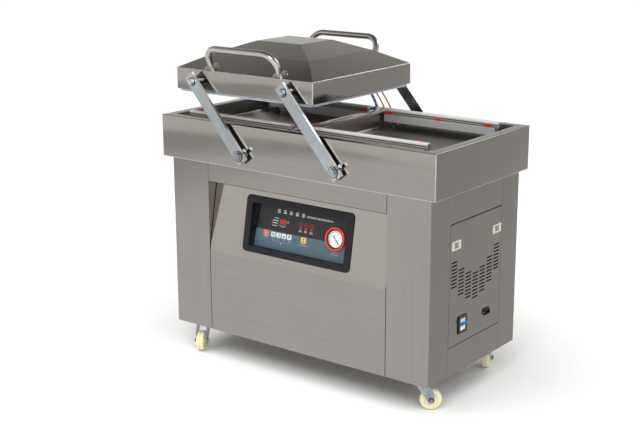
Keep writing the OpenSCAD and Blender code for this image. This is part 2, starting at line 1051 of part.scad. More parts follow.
module wheel() {
  translate([caster_trail, 0, axle_z])
    rotate([90, 0, 0])
      difference() {
        rotate_extrude()
          union() {
            translate([0, -15])
              square([axle_z - 6, 30]);
            translate([0, -9])
              square([axle_z, 18]);
            for (s = [-1, 1])
              translate([axle_z - 6, s * 9])
                circle(r = 6);
          }
        cylinder(r = 5.05, h = 50, center = true);
        for (s = [-1, 1])
          translate([0, 0, s * 14.5])
            difference() {
              cylinder(r = 25, h = 5, center = true);
              cylinder(r = 12, h = 6, center = true);
            }
      }
}

module caster_fork_fl() {
  color(zinc)
    at_caster(caster_fl)
      fork();
}

module caster_fork_fr() {
  color(zinc)
    at_caster(caster_fr)
      fork();
}

module caster_fork_bl() {
  color(zinc)
    at_caster(caster_bl)
      fork();
}

module caster_fork_br() {
  color(zinc)
    at_caster(caster_br)
      fork();
}

module caster_wheel_fl() {
  color(nylon)
    at_caster(caster_fl)
      wheel();
}

module caster_wheel_fr() {
  color(nylon)
    at_caster(caster_fr)
      wheel();
}

module caster_wheel_bl() {
  color(nylon)
    at_caster(caster_bl)
      wheel();
}

module caster_wheel_br() {
  color(nylon)
    at_caster(caster_br)
      wheel();
}

module key_red() {
  color([0.8, 0.1, 0.1])
    key_cap(0);
}

module key_white_a() {
  color(white)
    key_cap(1);
}

module key_white_b() {
  color(white)
    key_cap(2);
}

module key_white_c() {
  color(white)
    key_cap(3);
}

module key_white_d() {
  color(white)
    key_cap(4);
}

module key_yellow() {
  color([0.95, 0.7, 0.1])
    key_cap(5);
}

base_frame();
corner_pillars();
front_header();
front_panel();
right_fixed_panels();
right_access_panel();
left_side_panel();
rear_panel();
table_shell();
control_bezel();
control_membrane();
panel_indicators();
gauge_ring();
gauge_dial();
gauge_glass();
breaker_body();
breaker_frame();
power_inlet();
latch_frames();
vacuum_pump();
transformers();
shaft_bearings();
bar_posts();
caster_plates();
seal_bars();
seal_strips();
bag_clips();
bar_terminals();
shaft_right();
link_front_right();
link_rear_right();
clamp_bolts_right();
shaft_left();
link_front_left();
link_rear_left();
clamp_bolts_left();
lid_shell();
lid_gasket();
lid_handles();
lid_pivot_studs();
lid_seal_bars();
lid_air_hose();
heater_lead_left();
heater_lead_right();
caster_fork_fl();
caster_fork_fr();
caster_fork_bl();
caster_fork_br();
caster_wheel_fl();
caster_wheel_fr();
caster_wheel_bl();
caster_wheel_br();
key_red();
key_white_a();
key_white_b();
key_white_c();
key_white_d();
key_yellow();
breaker_toggle();
gauge_needle();
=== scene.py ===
"""Looks of the double-chamber vacuum packing machine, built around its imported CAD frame.

Everything is in metres, or in mm where a function says so, in the CAD's own frame: +Z up, -Y the
operator's side, origin on the floor.
"""

import json
import random
from math import atan2, cos, hypot, pi, radians, sin, tan

import bmesh
import bpy
from mathutils import Matrix, Quaternion, Vector

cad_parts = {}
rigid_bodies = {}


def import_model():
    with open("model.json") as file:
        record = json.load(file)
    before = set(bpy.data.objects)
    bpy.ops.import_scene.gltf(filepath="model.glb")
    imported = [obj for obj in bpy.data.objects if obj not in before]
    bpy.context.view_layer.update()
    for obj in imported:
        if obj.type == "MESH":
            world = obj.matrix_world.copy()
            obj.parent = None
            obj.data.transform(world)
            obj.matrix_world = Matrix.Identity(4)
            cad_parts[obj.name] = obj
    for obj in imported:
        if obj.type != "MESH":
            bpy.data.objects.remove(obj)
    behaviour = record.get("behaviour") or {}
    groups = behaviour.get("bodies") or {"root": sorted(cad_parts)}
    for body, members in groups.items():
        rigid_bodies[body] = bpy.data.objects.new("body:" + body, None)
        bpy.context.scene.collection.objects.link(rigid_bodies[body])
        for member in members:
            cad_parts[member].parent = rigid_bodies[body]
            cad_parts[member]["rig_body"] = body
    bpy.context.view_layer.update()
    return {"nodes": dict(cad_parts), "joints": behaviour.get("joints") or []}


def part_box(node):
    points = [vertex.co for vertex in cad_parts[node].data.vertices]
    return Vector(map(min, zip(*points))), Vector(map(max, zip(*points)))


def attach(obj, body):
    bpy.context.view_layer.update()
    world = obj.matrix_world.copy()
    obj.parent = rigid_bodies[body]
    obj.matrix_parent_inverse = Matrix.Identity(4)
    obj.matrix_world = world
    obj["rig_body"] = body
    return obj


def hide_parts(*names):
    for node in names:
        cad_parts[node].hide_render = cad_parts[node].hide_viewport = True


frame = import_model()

MM = 0.001
LINK_ANGLE = radians(49.3)            # of the link bars above level, at rest
REACH = 0.341                         # between the pivots of one link bar
TABLE_SHEET, LID_SHEET = 0.0019, 0.0018
node = frame["nodes"]
scene = bpy.context.scene
rng = random.Random(7)


# ---------------- camera and lights

CAMERA_PLACE = (2.7914, -3.7666, 1.8333)
CAMERA_AZIMUTH = 37.53      # degrees, 0 looks along +Y
CAMERA_ELEVATION = 14.78    # degrees above the horizon
CAMERA_ROLL = -0.18         # degrees
CAMERA_LENS = 70.5          # mm on a 36 mm sensor
LIGHTS_AIM = Vector((0, 0, 0.9))


def placed(name, data):
    """Puts a new object into the scene."""
    made = bpy.data.objects.new(name, data)
    scene.collection.objects.link(made)
    return made


def direction(azimuth, elevation):
    """Towards a place around the machine, in degrees: 0 is the operator's side, 90 the right."""
    a, e = radians(azimuth), radians(elevation)
    return Vector((sin(a) * cos(e), -cos(a) * cos(e), sin(e)))


def make_camera():
    data = bpy.data.cameras.new("camera")
    data.lens, data.sensor_width, data.clip_end = CAMERA_LENS, 36, 200
    camera = placed("camera", data)
    camera.location = CAMERA_PLACE
    camera.rotation_mode = "QUATERNION"
    ahead = -direction(CAMERA_AZIMUTH, CAMERA_ELEVATION)
    camera.rotation_quaternion = ahead.to_track_quat("-Z", "Y") @ Quaternion((0, 0, 1), radians(CAMERA_ROLL))
    scene.camera = camera


def make_sun(name, azimuth, elevation, strength, softness):
    data = bpy.data.lights.new(name, "SUN")
    data.energy, data.angle = strength, radians(softness)
    lamp = placed(name, data)
    lamp.rotation_mode = "QUATERNION"
    lamp.rotation_quaternion = direction(azimuth, elevation).to_track_quat("Z", "Y")
    lamp.visible_glossy = False


def make_softbox(name, place, size, power):
    """A square softbox. It isn't seen by the camera, only by what it lights."""
    data = bpy.data.lights.new(name, "AREA")
    data.shape, data.size, data.energy = "SQUARE", size, power
    lamp = placed(name, data)
    lamp.location = place
    lamp.rotation_mode = "QUATERNION"
    lamp.rotation_quaternion = (Vector(place) - LIGHTS_AIM).to_track_quat("Z", "Y")
    lamp.visible_camera = False


make_camera()
make_sun("key_light", -35, 60, 2.1, 54)
make_sun("fill_light", 65, 52, 1.5, 60)
make_softbox("back_softbox", (1.6, 3.4, 3.4), 1.7, 34)
make_softbox("front_softbox", (1.7, -3.5, 3.3), 1.5, 40)
scene.view_settings.view_transform = "Standard"


# ---------------- nodes and world

def tint(colour, share):
    return tuple(c * share for c in colour)


class Nodes:
    """Adds shader nodes to one tree. Each input is a value or the output of another node."""

    def __init__(self, tree):
        self.tree = tree

    def feed(self, socket, value):
        if isinstance(value, bpy.types.NodeSocket):
            self.tree.links.new(value, socket)
        elif value is not None:
            socket.default_value = value

    def add(self, kind, **inputs):
        made = self.tree.nodes.new("ShaderNode" + kind)
        for key, value in inputs.items():
            self.feed(made.inputs[key.replace("_", " ")], value)
        return made

    def part(self, vector, axis):
        return self.add("SeparateXYZ", Vector=vector).outputs[axis]

    def math(self, operation, a, b=0.0):
        made = self.add("Math")
        made.operation = operation
        for socket, value in zip(made.inputs, (a, b)):
            self.feed(socket, value)
        return made.outputs[0]

    def spread(self, value, low, high, start=0.3, end=0.7):
        """low to high while the value goes from start to end."""
        return self.add("MapRange", Value=value, From_Min=start, From_Max=end, To_Min=low, To_Max=high).outputs[0]

    def colours(self, value, *stops):
        """A ramp of (place, colour) stops driven by value."""
        made = self.add("ValToRGB", Fac=value)
        elements = made.color_ramp.elements
        elements[0].position, elements[0].color = stops[0][0], (*stops[0][1], 1)
        elements[1].position, elements[1].color = stops[-1][0], (*stops[-1][1], 1)
        for at, colour in stops[1:-1]:
            elements.new(at).color = (*colour, 1)
        return made.outputs[0]

    def mix(self, factor, a, b):
        """Colour a, or b where the factor is 1."""
        made = self.add("Mix")
        made.data_type = "RGBA"
        for i, value in ((0, factor), (6, a), (7, b)):
            self.feed(made.inputs[i], (*value, 1) if isinstance(value, tuple) else value)
        return made.outputs[2]


def make_world():
    """A studio with pale walls, paler behind the camera, and a dark ceiling. Stops are (height, grey)."""
    world = bpy.data.worlds.new("studio")
    world.use_nodes = True
    scene.world = world
    p = Nodes(world.node_tree)
    p.tree.nodes.clear()
    away = p.add("TexCoord").outputs["Generated"]
    ceiling = ((0.45, 0.47), (0.6, 0.37), (0.7, 0.28), (0.76, 0.17), (1.0, 0.12))
    front, back = (p.colours(p.part(away, "Z"), *((at, tint((1, 0.99, 0.975), grey)) for at, grey in wall + ceiling))
                   for wall in (((0.0, 1.08), (0.06, 1.15), (0.14, 1.0), (0.24, 0.52)),
                                ((0.0, 0.66), (0.06, 0.64), (0.14, 0.6), (0.24, 0.54))))
    shade = p.mix(p.spread(p.part(away, "Y"), 0, 1, -0.2, 0.5), front, back)
    p.add("OutputWorld", Surface=p.add("Background", Color=shade).outputs[0])


make_world()


# ---------------- materials

class Paint(Nodes):
    """Builds one node material around a Principled shader."""

    def __init__(self, name, **sockets):
        self.material = bpy.data.materials.new(name)
        self.material.use_nodes = True
        super().__init__(self.material.node_tree)
        self.shader = self.tree.nodes["Principled BSDF"]
        self.place = self.add("TexCoord").outputs["Object"]
        for key, value in sockets.items():
            self.shader.inputs[key.replace("_", " ").title().replace("Ior", "IOR")].default_value = value

    def scaled(self, scale, turn=(0, 0, 0)):
        return self.add("Mapping", Vector=self.place, Scale=scale, Rotation=turn).outputs[0]

    def noise(self, scale, detail=2.0, rough=0.5):
        """scale is one number, or one for each axis for a drawn-out grain."""
        where, scale = (self.scaled(scale), 1.0) if isinstance(scale, tuple) else (self.place, scale)
        return self.add("TexNoise", Scale=scale, Detail=detail, Roughness=rough, Vector=where).outputs["Fac"]

    def facing(self, axis):
        """How far a face looks along one axis, from -1 to 1."""
        return self.part(self.add("NewGeometry").outputs["Normal"], axis)

    def shades(self, value, colour, dark, light=1.0):
        """A colour between two of its tints."""
        return self.colours(value, (0.3, tint(colour, dark)), (0.7, tint(colour, light)))

    def wash(self, shade, over, amount, value, start=0.3, end=0.7):
        """The shade under another colour, which covers up to that amount where the value is high."""
        return self.mix(self.spread(value, 0, amount, start, end), shade, over)

    def bump(self, height, distance, strength=1.0, under=None):
        return self.add("Bump", Height=height, Distance=distance, Strength=strength, Normal=under).outputs[0]

    def ends(self, colour, rough=None, normal=None):
        for key, value in (("Base Color", colour), ("Roughness", rough), ("Normal", normal)):
            self.feed(self.shader.inputs[key], value)
        return self.material


STEEL = (0.362, 0.339, 0.315)
LEVEL_GRAIN = (18, 18, 2400)
UPRIGHT_GRAIN = (2400, 2400, 18)
TOP_GRAIN = (18, 2400, 18)
STREAK = 1 / 14             # scale of the long streaks against the grain
MILLING = 1400              # radians a metre along the links' edges


def sheet_steel(name, colour=STEEL, grain=LEVEL_GRAIN, rough=0.13, wave=0.0012, smudge=0.05):
    """Brushed stainless sheet: grain, faint long streaks, slightly wavy, with handling marks."""
    p = Paint(name, metallic=1.0)
    lying = p.spread(p.math("ABSOLUTE", p.facing("Z")), 0, 1, 0.6, 0.8)
    fine, broad = (p.mix(lying, p.noise(tint(grain, share)), p.noise(tint(TOP_GRAIN, share)))
                   for share in (1, STREAK))
    shade = p.wash(p.shades(broad, colour, 0.965, 1.035), tint(colour, 0.7), 0.1, fine)
    shade = p.wash(shade, tint(colour, 0.86), 0.35, p.noise(3.1, 3))
    marks = p.spread(p.noise(11, 4, 0.55), 0, smudge, 0.45, 0.75)
    gloss = p.math("ADD", p.spread(broad, rough - 0.02, rough + 0.02), marks)
    return p.ends(shade, gloss, p.bump(p.noise(1.9, 0), wave))


def polished_steel(name, colour=(0.6, 0.575, 0.54), rough=0.14):
    p = Paint(name, metallic=1.0)
    grain, stain = p.noise(900, 3), p.noise(24, 4, 0.6)
    gloss = p.math("ADD", p.spread(grain, rough - 0.03, rough + 0.04), p.spread(stain, 0, 0.06))
    return p.ends(p.shades(stain, colour, 0.86), gloss, p.bump(grain, 4e-6))


def zinc(name, colour=(0.6, 0.63, 0.66), rough=0.2, blue=(0.44, 0.52, 0.62)):
    """Bright zinc plate: cool, slightly clouded and iridescent, over a machined surface."""
    p = Paint(name, metallic=1.0)
    cloud, tool = p.noise(38, 4, 0.6), p.noise((260, 260, 1600), 3)
    shade = p.colours(cloud, (0.32, blue), (0.5, colour), (0.72, tint(colour, 1.12)))
    shade = p.wash(shade, tint(colour, 0.5), 0.25, p.noise(420), 0.62, 0.75)
    return p.ends(shade, p.spread(tool, rough - 0.05, rough + 0.08), p.bump(tool, 8e-6, 0.8, p.bump(cloud, 5e-5)))


def link_plate(name, inner=1.0):
    """Zinc-plated bar: flat ground faces, and edges with a ladder of milling marks.
    inner darkens the faces that look towards the front, as painted shade."""
    p = Paint(name, metallic=1.0)
    across = p.facing("Y")
    edge = p.spread(p.math("ABSOLUTE", across), 1, 0, 0.4, 0.6)
    run = p.math("SUBTRACT", p.math("MULTIPLY", p.part(p.place, "Z"), MILLING * sin(LINK_ANGLE)),
                 p.math("MULTIPLY", p.part(p.place, "X"), MILLING * cos(LINK_ANGLE)))
    tick = p.math("MULTIPLY", p.math("SINE", run), edge)
    shade = p.colours(p.noise(26, 3), (0.3, (0.46, 0.5, 0.53)), (0.7, (0.51, 0.55, 0.575)))
    # Painted shade: the faces that look towards the front are darkened.
    if inner < 1:
        shade = p.mix(p.spread(across, 1, 0, -0.6, -0.4), shade, tint((0.49, 0.53, 0.56), inner))
    # The edges are painted near white: partly the milled edges' own brighter finish, partly painted highlight.
    shade = p.mix(edge, shade, (0.85, 0.86, 0.85))
    shade = p.wash(shade, (0.28, 0.31, 0.33), 0.45, tick, 0.2, 0.9)
    gloss = p.math("ADD", p.spread(p.noise((70, 70, 900), 3), 0.18, 0.26), p.math("MULTIPLY", edge, 0.1))
    return p.ends(shade, gloss, p.bump(tick, 1.5e-4))


def plastic(name, colour, rough=0.35, relief=2e-5, grime=0.1, **sockets):
    """Moulded plastic: fine spark-eroded texture and a trace of dust."""
    p = Paint(name, **sockets)
    texture, dust = p.noise(1400), p.noise(60, 5, 0.65)
    shade = p.wash(p.shades(texture, colour, 0.94, 1.04), (0.38, 0.36, 0.33), grime, dust, 0.45, 0.8)
    gloss = p.math("ADD", p.spread(texture, rough - 0.04, rough + 0.04), p.spread(dust, 0, 0.12, 0.4, 0.8))
    return p.ends(shade, gloss, p.bump(texture, relief))


def extruded_aluminium(name):
    """Bead-blasted and anodised profile: nearly matt, with faint die lines."""
    p = Paint(name, metallic=0.45, specular_ior_level=0.3)
    die, cloud = p.noise((14, 2600, 2600), 3), p.noise(22, 3)
    shade = p.colours(die, (0.3, (0.46, 0.475, 0.485)), (0.7, (0.56, 0.575, 0.585)))
    return p.ends(p.wash(shade, (0.38, 0.39, 0.395), 0.25, cloud), p.spread(die, 0.44, 0.56), p.bump(cloud, 2e-5))


def woven_tape(name, colour):
    """Glass cloth tape with a non-stick face."""
    p = Paint(name, specular_ior_level=0.35)
    weave = p.math("MULTIPLY", *(p.add("TexWave", Vector=where, Scale=320).outputs["Fac"]
                                 for where in (p.place, p.scaled((1, 1, 1), (0, 0, pi / 2)))))
    worn = p.noise(70, 4, 0.6)
    shade = p.colours(weave, (0.0, tint(colour, 0.93)), (1.0, colour))
    shade = p.wash(shade, tint(colour, 0.76), 0.25, worn, 0.5, 0.8)
    return p.ends(shade, p.spread(worn, 0.35, 0.5), p.bump(weave, 1e-5))


def silicone(name, colour, clear=0.25):
    p = Paint(name, subsurface_weight=0.25, subsurface_scale=0.004, transmission_weight=clear)
    pulled = p.noise((90, 90, 500), 3)
    return p.ends(p.shades(p.noise(45, 4), colour, 0.86), p.spread(pulled, 0.22, 0.38), p.bump(pulled, 4e-5))


def braided(name, dark, light, turns, strands=900):
    """Spiral-laid cover, drawn along the piece's own UV: u round the tube, v along it in metres."""
    p = Paint(name)
    u, v = (p.part(p.add("UVMap").outputs[0], axis) for axis in "XY")
    spiral = p.math("FRACT", p.math("ADD", u, p.math("MULTIPLY", v, turns)))
    weft = p.math("FRACT", p.math("SUBTRACT", p.math("MULTIPLY", u, 4.0), p.math("MULTIPLY", v, strands)))
    shade = p.mix(p.spread(spiral, 0, 1, 0.46, 0.54), dark, light)
    shade = p.wash(shade, tint(dark, 0.5), 0.35, weft, 0.2, 0.9)
    fuzz = p.noise(700, 3)
    return p.ends(shade, p.spread(fuzz, 0.45, 0.7), p.bump(weft, 2e-4, 0.6, p.bump(fuzz, 5e-5)))


def lit(name, colour, strength):
    p = Paint(name, roughness=0.25, emission_strength=strength)
    glow = p.noise(600)
    shade = p.shades(glow, colour, 0.75)
    p.feed(p.shader.inputs["Emission Color"], shade)
    return p.ends(shade, None, p.bump(glow, 1e-5))


def printed(name, colour):
    p = Paint(name)
    screen = p.noise(2600)
    shade = p.colours(screen, (0.35, tint(colour, 0.82)), (0.65, colour))
    return p.ends(shade, p.spread(screen, 0.4, 0.55), p.bump(screen, 8e-6))


def cast_paint(name, colour):
    p = Paint(name, coat_weight=0.2, coat_roughness=0.3)
    peel = p.noise(260, 3)
    shade = p.wash(colour, (0.22, 0.21, 0.2), 1, p.noise(90, 6, 0.7), 0.7, 0.74)
    return p.ends(shade, p.spread(peel, 0.35, 0.55), p.bump(peel, 1.5e-4, 0.6))


def clear_glass(name):
    p = Paint(name, roughness=0.03, ior=1.45)
    smear = p.noise(120, 4, 0.6)
    p.feed(p.shader.inputs["Alpha"], p.spread(smear, 0.05, 0.09, 0.4, 0.8))
    shade = p.colours(smear, (0.3, (0.93, 0.95, 0.96)), (0.7, (1.0, 1.0, 1.0)))
    return p.ends(shade, p.spread(smear, 0.02, 0.06, 0.5, 0.8), p.bump(smear, 2e-6))


def weld_and_highlight(name):
    """A seam that was welded and ground flat: matt and slightly uneven, its brightness partly painted highlight. Also
    used as painted highlight along some folds.
    """
    p = Paint(name, metallic=1.0)
    grit = p.noise(1300, 3)
    shade = p.colours(p.noise(34, 4, 0.6), (0.3, (0.58, 0.565, 0.54)), (0.7, (0.84, 0.83, 0.81)))
    return p.ends(shade, p.spread(grit, 0.36, 0.52), p.bump(grit, 3e-5))


def nylon(name, colour):
    p = Paint(name, subsurface_weight=0.15, subsurface_scale=0.006)
    mould, scuff = p.noise(500, 3), p.noise(75, 6, 0.7)
    shade = p.wash(p.shades(mould, colour, 0.93), (0.34, 0.28, 0.17), 0.3, scuff, 0.55, 0.85)
    return p.ends(shade, p.spread(scuff, 0.33, 0.55), p.bump(mould, 3e-5))


# ---------------- shapes

def rounded_rect(x0, x1, y0, y1, z, r, steps=4):
    """Points of a level rounded rectangle."""
    r = max(r, 1e-4)
    points = []
    for cx, cy, start in ((x1 - r, y1 - r, 0), (x0 + r, y1 - r, 90),
                          (x0 + r, y0 + r, 180), (x1 - r, y0 + r, 270)):
        for i in range(steps + 1):
            a = radians(start + 90 * i / steps)
            points.append(Vector((cx + r * cos(a), cy + r * sin(a), z)))
    return points


def insets(x0, x1, y0, y1, section, r, steps=5):
    """Level rounded rectangles, one for each (inset, height) of a section."""
    return [rounded_rect(x0 + i, x1 - i, y0 + i, y1 - i, z, r - i, steps) for i, z in section]


def bent_line(corners, steps=4):
    """A line through (point, radius) corners, each rounded to its radius."""
    out = []
    for i, (point, r) in enumerate(corners):
        p = Vector(point)
        if r <= 0 or i in (0, len(corners) - 1):
            out.append(p)
            continue
        a = (Vector(corners[i - 1][0]) - p).normalized()
        b = (Vector(corners[i + 1][0]) - p).normalized()
        half = a.angle(b) / 2
        centre = p + (a + b).normalized() * (r / sin(half))
        u, v = p + a * (r / tan(half)) - centre, p + b * (r / tan(half)) - centre
        turn = u.angle(v)
        for k in range(steps + 1):
            t = k / steps
            out.append(centre + (u * sin((1 - t) * turn) + v * sin(t * turn)) / sin(turn))
    return out


def loft(loops, wrap=False, cap_first=False, cap_last=False):
    """Points and faces of a skin over closed loops of the same length."""
    n = len(loops[0])
    points = [p for loop in loops for p in loop]
    faces = []
    for k in range(len(loops) if wrap else len(loops) - 1):
        a, b = k * n, (k + 1) % len(loops) * n
        for i in range(n):
            j = (i + 1) % n
            faces.append((a + i, a + j, b + j, b + i))
    if cap_first:
        faces.append(tuple(reversed(range(n))))
    if cap_last:
        faces.append(tuple(range((len(loops) - 1) * n, len(loops) * n)))
    return points, faces


def turn_to(axis):
    """Turns +Z to the axis."""
    return Vector(axis).normalized().to_track_quat("Z", "Y")


def lathe(profile, at, axis, steps=40, wrap=False):
    """A turned shape. profile holds (radius, distance along the axis) pairs in mm."""
    turn = turn_to(axis)
    angles = [2 * pi * i / steps for i in range(steps)]
    return loft([[Vector(at) + turn @ Vector((radius * cos(a), radius * sin(a), along)) * MM for a in angles]
                 for radius, along in profile], wrap, not wrap, not wrap)


def tube(path, radius, sides):
    """A round tube along a line, with u round it and v along it in metres. radius is a function of v."""
    last = len(path) - 1
    tangents = [(path[min(i + 1, last)] - path[max(i - 1, 0)]).normalized() for i in range(last + 1)]
    side = tangents[0].orthogonal().normalized()
    points, uvs, run = [], [], 0.0
    for i, point in enumerate(path):
        if i:
            run += (point - path[i - 1]).length
            side = (side - tangents[i] * side.dot(tangents[i])).normalized()
        up = tangents[i].cross(side)
        for k in range(sides + 1):
            a = 2 * pi * k / sides
            points.append(point + (side * cos(a) + up * sin(a)) * radius(run))
            uvs.append((k / sides, run))
    n = sides + 1
    faces = [(k * n + i, k * n + i + 1, (k + 1) * n + i + 1, (k + 1) * n + i)
             for k in range(last) for i in range(sides)]
    faces += [tuple(reversed(range(sides))), tuple(last * n + i for i in range(sides))]
    return points, faces, uvs


def resampled(path, gap):
    """The same line with a point every gap metres."""
    out, left = [path[0]], gap
    for a, b in zip(path, path[1:]):
        length = (b - a).length
        while length >= left > 0:
            a = a + (b - a) * (left / length)
            out.append(a)
            length = (b - a).length
            left = gap
        left -= length
    return out + [path[-1]]


def joined(shapes):
    """Several (points, faces) shapes as one."""
    points, faces = [], []
    for more_points, more_faces in shapes:
        base = len(points)
        points += more_points
        faces += [tuple(base + i for i in face) for face in more_faces]
    return points, faces


def brick(low, high):
    x0, y0, z0 = low
    x1, y1, z1 = high
    points = [Vector((x, y, z)) for z in (z0, z1) for x, y in ((x0, y0), (x1, y0), (x1, y1), (x0, y1))]
    faces = [(0, 3, 2, 1), (4, 5, 6, 7), (0, 1, 5, 4), (1, 2, 6, 5), (2, 3, 7, 6), (3, 0, 4, 7)]
    return points, faces


def block(at, x0, x1, y0, y1, z0, z1):
    """A brick between distances in mm from a point."""
    return brick(at + Vector((x0, y0, z0)) * MM, at + Vector((x1, y1, z1)) * MM)


def set_modifiers(made, weld=0, bevel=0, solid=0):
    if weld:
        made.modifiers.new("weld", "WELD").merge_threshold = weld
    if solid:
        skin = made.modifiers.new("sheet", "SOLIDIFY")
        skin.thickness, skin.offset = solid, -1
    if bevel:
        edge = made.modifiers.new("edges", "BEVEL")
        edge.width, edge.segments = bevel, 2
        edge.limit_method, edge.angle_limit = "ANGLE", radians(35)
        made.modifiers.new("shading", "WEIGHTED_NORMAL").keep_sharp = True


def smoothed(data, sharp, weld):
    """Joins points that nearly meet, turns the faces outwards and shades all but the sharp edges smooth."""
    fix = bmesh.new()
    fix.from_mesh(data)
    if weld:
        bmesh.ops.remove_doubles(fix, verts=fix.verts, dist=weld)
    bmesh.ops.recalc_face_normals(fix, faces=fix.faces)
    fix.to_mesh(data)
    fix.free()
    data.shade_smooth()
    data.set_sharp_from_angle(angle=radians(sharp))


def piece(name, shape, material, body="cabinet", stands_for=(), sharp=35, weld=0, bevel=0, solid=0):
    """Makes one visual piece that rides on a CAD body.
    shape is (points, faces), with uvs or not, or a list of shapes."""
    points, faces, *uvs = joined(shape) if isinstance(shape, list) else shape
    data = bpy.data.meshes.new(name)
    data.from_pydata(points, [], faces)
    if uvs:
        layer = data.uv_layers.new(name="UVMap")
        for corner in data.loops:
            layer.data[corner.index].uv = uvs[0][corner.vertex_index]
    data.update()
    smoothed(data, sharp, weld)
    data.materials.append(material)
    made = placed(name, data)
    set_modifiers(made, bevel=bevel, solid=solid)
    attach(made, body)
    if stands_for:
        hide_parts(*stands_for)
    return made


def dress(name, material, bevel=0.0):
    """Gives a CAD node its material and, with a bevel, eased edges."""
    made = node[name]
    made.data.materials.clear()
    made.data.materials.append(material)
    if bevel:
        set_modifiers(made, weld=1e-5, bevel=bevel)


# ---------------- finishes of several pieces

front_steel = sheet_steel("front_steel", wave=0.0008, smudge=0.03)
side_steel = sheet_steel("side_steel")
link_zinc = link_plate("link_zinc")
# The rear links' faces towards the front are painted darker: painted shade.
shaded_rear_link_zinc = link_plate("shaded_rear_link_zinc", 0.5)
bolt_zinc = zinc("bolt_zinc")
screw_zinc = zinc("screw_zinc", (0.44, 0.46, 0.48), 0.16, (0.29, 0.32, 0.355))
black_oxide = zinc("black_oxide", (0.03, 0.032, 0.036), 0.3, (0.018, 0.02, 0.026))
caster_zinc = zinc("caster_zinc", (0.58, 0.62, 0.63), 0.24, (0.43, 0.49, 0.52))
black_moulding = plastic("black_moulding", (0.012, 0.011, 0.014), 0.46, 5e-5, 0.02, specular_ior_level=0.22)
# Glossy black plastic, also used as painted shade in the screws' cross recesses.
black_gloss_and_shade = plastic("black_gloss_and_shade", (0.015, 0.015, 0.016), 0.28, 1e-5, 0.05)
red_moulding = plastic("red_moulding", (0.62, 0.02, 0.015))
bar_aluminium = extruded_aluminium("bar_aluminium")
# Near-black that paints shade: gaps between sheets, slots, and the dark lines on the bridge.
painted_shade_black = plastic("painted_shade_black", (0.022, 0.018, 0.016), 0.7, specular_ior_level=0.15)
# Near-black foam: the vent filter, and painted shade on the keypad window's inner wall.
foam_and_painted_shade = plastic("foam_and_painted_shade", (0.006, 0.006, 0.007), 0.85, 3e-4, specular_ior_level=0.05)
# Bright steel: the ground corner welds, partly painted highlight, and painted highlight along folds.
seam_and_highlight_steel = weld_and_highlight("seam_and_highlight_steel")
lead_cover = braided("lead_cover", (0.4, 0.18, 0.03), (0.66, 0.36, 0.1), 140, 1400)


# ---------------- CAD nodes that are kept, with bevels in mm

for material, finish, bevel, names in (
        (front_steel, "stainless_brushed", 0.8, "base_frame front_header front_panel"),
        (front_steel, "stainless_brushed", 0.5, "rear_panel"),
        (sheet_steel("pillar_steel", grain=UPRIGHT_GRAIN), "stainless_brushed", 1.2, "corner_pillars"),
        (side_steel, "stainless_brushed", 0.8, "left_side_panel"),
        (side_steel, "stainless_brushed", 0.6, "right_fixed_panels"),
        (side_steel, "stainless_brushed", 0.5, "right_access_panel"),
        (polished_steel("shaft_steel", (0.5, 0.5, 0.49), 0.2), "polished_stainless", 0.8, "shaft_right shaft_left"),
        (zinc("bearing_zinc", (0.46, 0.48, 0.5), 0.28), "zinc_plate", 0.8, "shaft_bearings"),
        (link_zinc, "zinc_plate", 0.7, "link_front_right link_front_left"),
        (shaded_rear_link_zinc, "zinc_plate", 0.7, "link_rear_right link_rear_left"),
        (screw_zinc, "zinc_plate", 0.6, "clamp_bolts_right clamp_bolts_left lid_pivot_studs"),
        (caster_zinc, "zinc_plate", 0.6, "caster_plates"),
        (caster_zinc, "zinc_plate", 0.5, "caster_fork_fl caster_fork_fr caster_fork_bl caster_fork_br"),
        (bar_aluminium, "aluminium", 0.6, "seal_bars"),
        (woven_tape("strip_cloth", (0.58, 0.6, 0.59)), "white_silicone", 0.7, "seal_strips"),
        (silicone("pad_silicone", (0.8, 0.81, 0.79), 0.1), "white_silicone", 0.8, "lid_seal_bars"),
        (red_moulding, "red_plastic", 0.5, "bag_clips"),
        (bolt_zinc, "brass", 0.4, "bar_terminals"),
        (plastic("post_plastic", (0.03, 0.03, 0.032), 0.45), "black_rubber", 0.8, "bar_posts"),
        (black_moulding, "black_plastic", 1.5, "control_bezel"),
        (plastic("white_moulding", (0.8, 0.79, 0.76), 0.36), "white_plastic", 0.4, "breaker_body"),
        (black_gloss_and_shade, "black_plastic", 0.8, "breaker_frame"),
        (plastic("blue_moulding", (0.0, 0.18, 0.46), 0.4), "blue_plastic", 0.8, "breaker_toggle"),
        (plastic("red_key", (0.7, 0.035, 0.03), 0.4, grime=0.04), "red_plastic", 0.3, "key_red"),
        (plastic("yellow_key", (0.85, 0.45, 0.03), 0.4, grime=0.04), "yellow_plastic", 0.3, "key_yellow"),
        (plastic("white_key", (0.64, 0.66, 0.68), 0.4, grime=0.04), "white_plastic", 0.3,
         "key_white_a key_white_b key_white_c key_white_d"),
        (cast_paint("pump_paint", (0.05, 0.07, 0.11)), "pump_paint", 2, "vacuum_pump"),
        (cast_paint("winding", (0.2, 0.09, 0.03)), "winding_varnish", 1, "transformers")):
    for name in names.split():
        dress(name, material, bevel * MM)


# ---------------- table

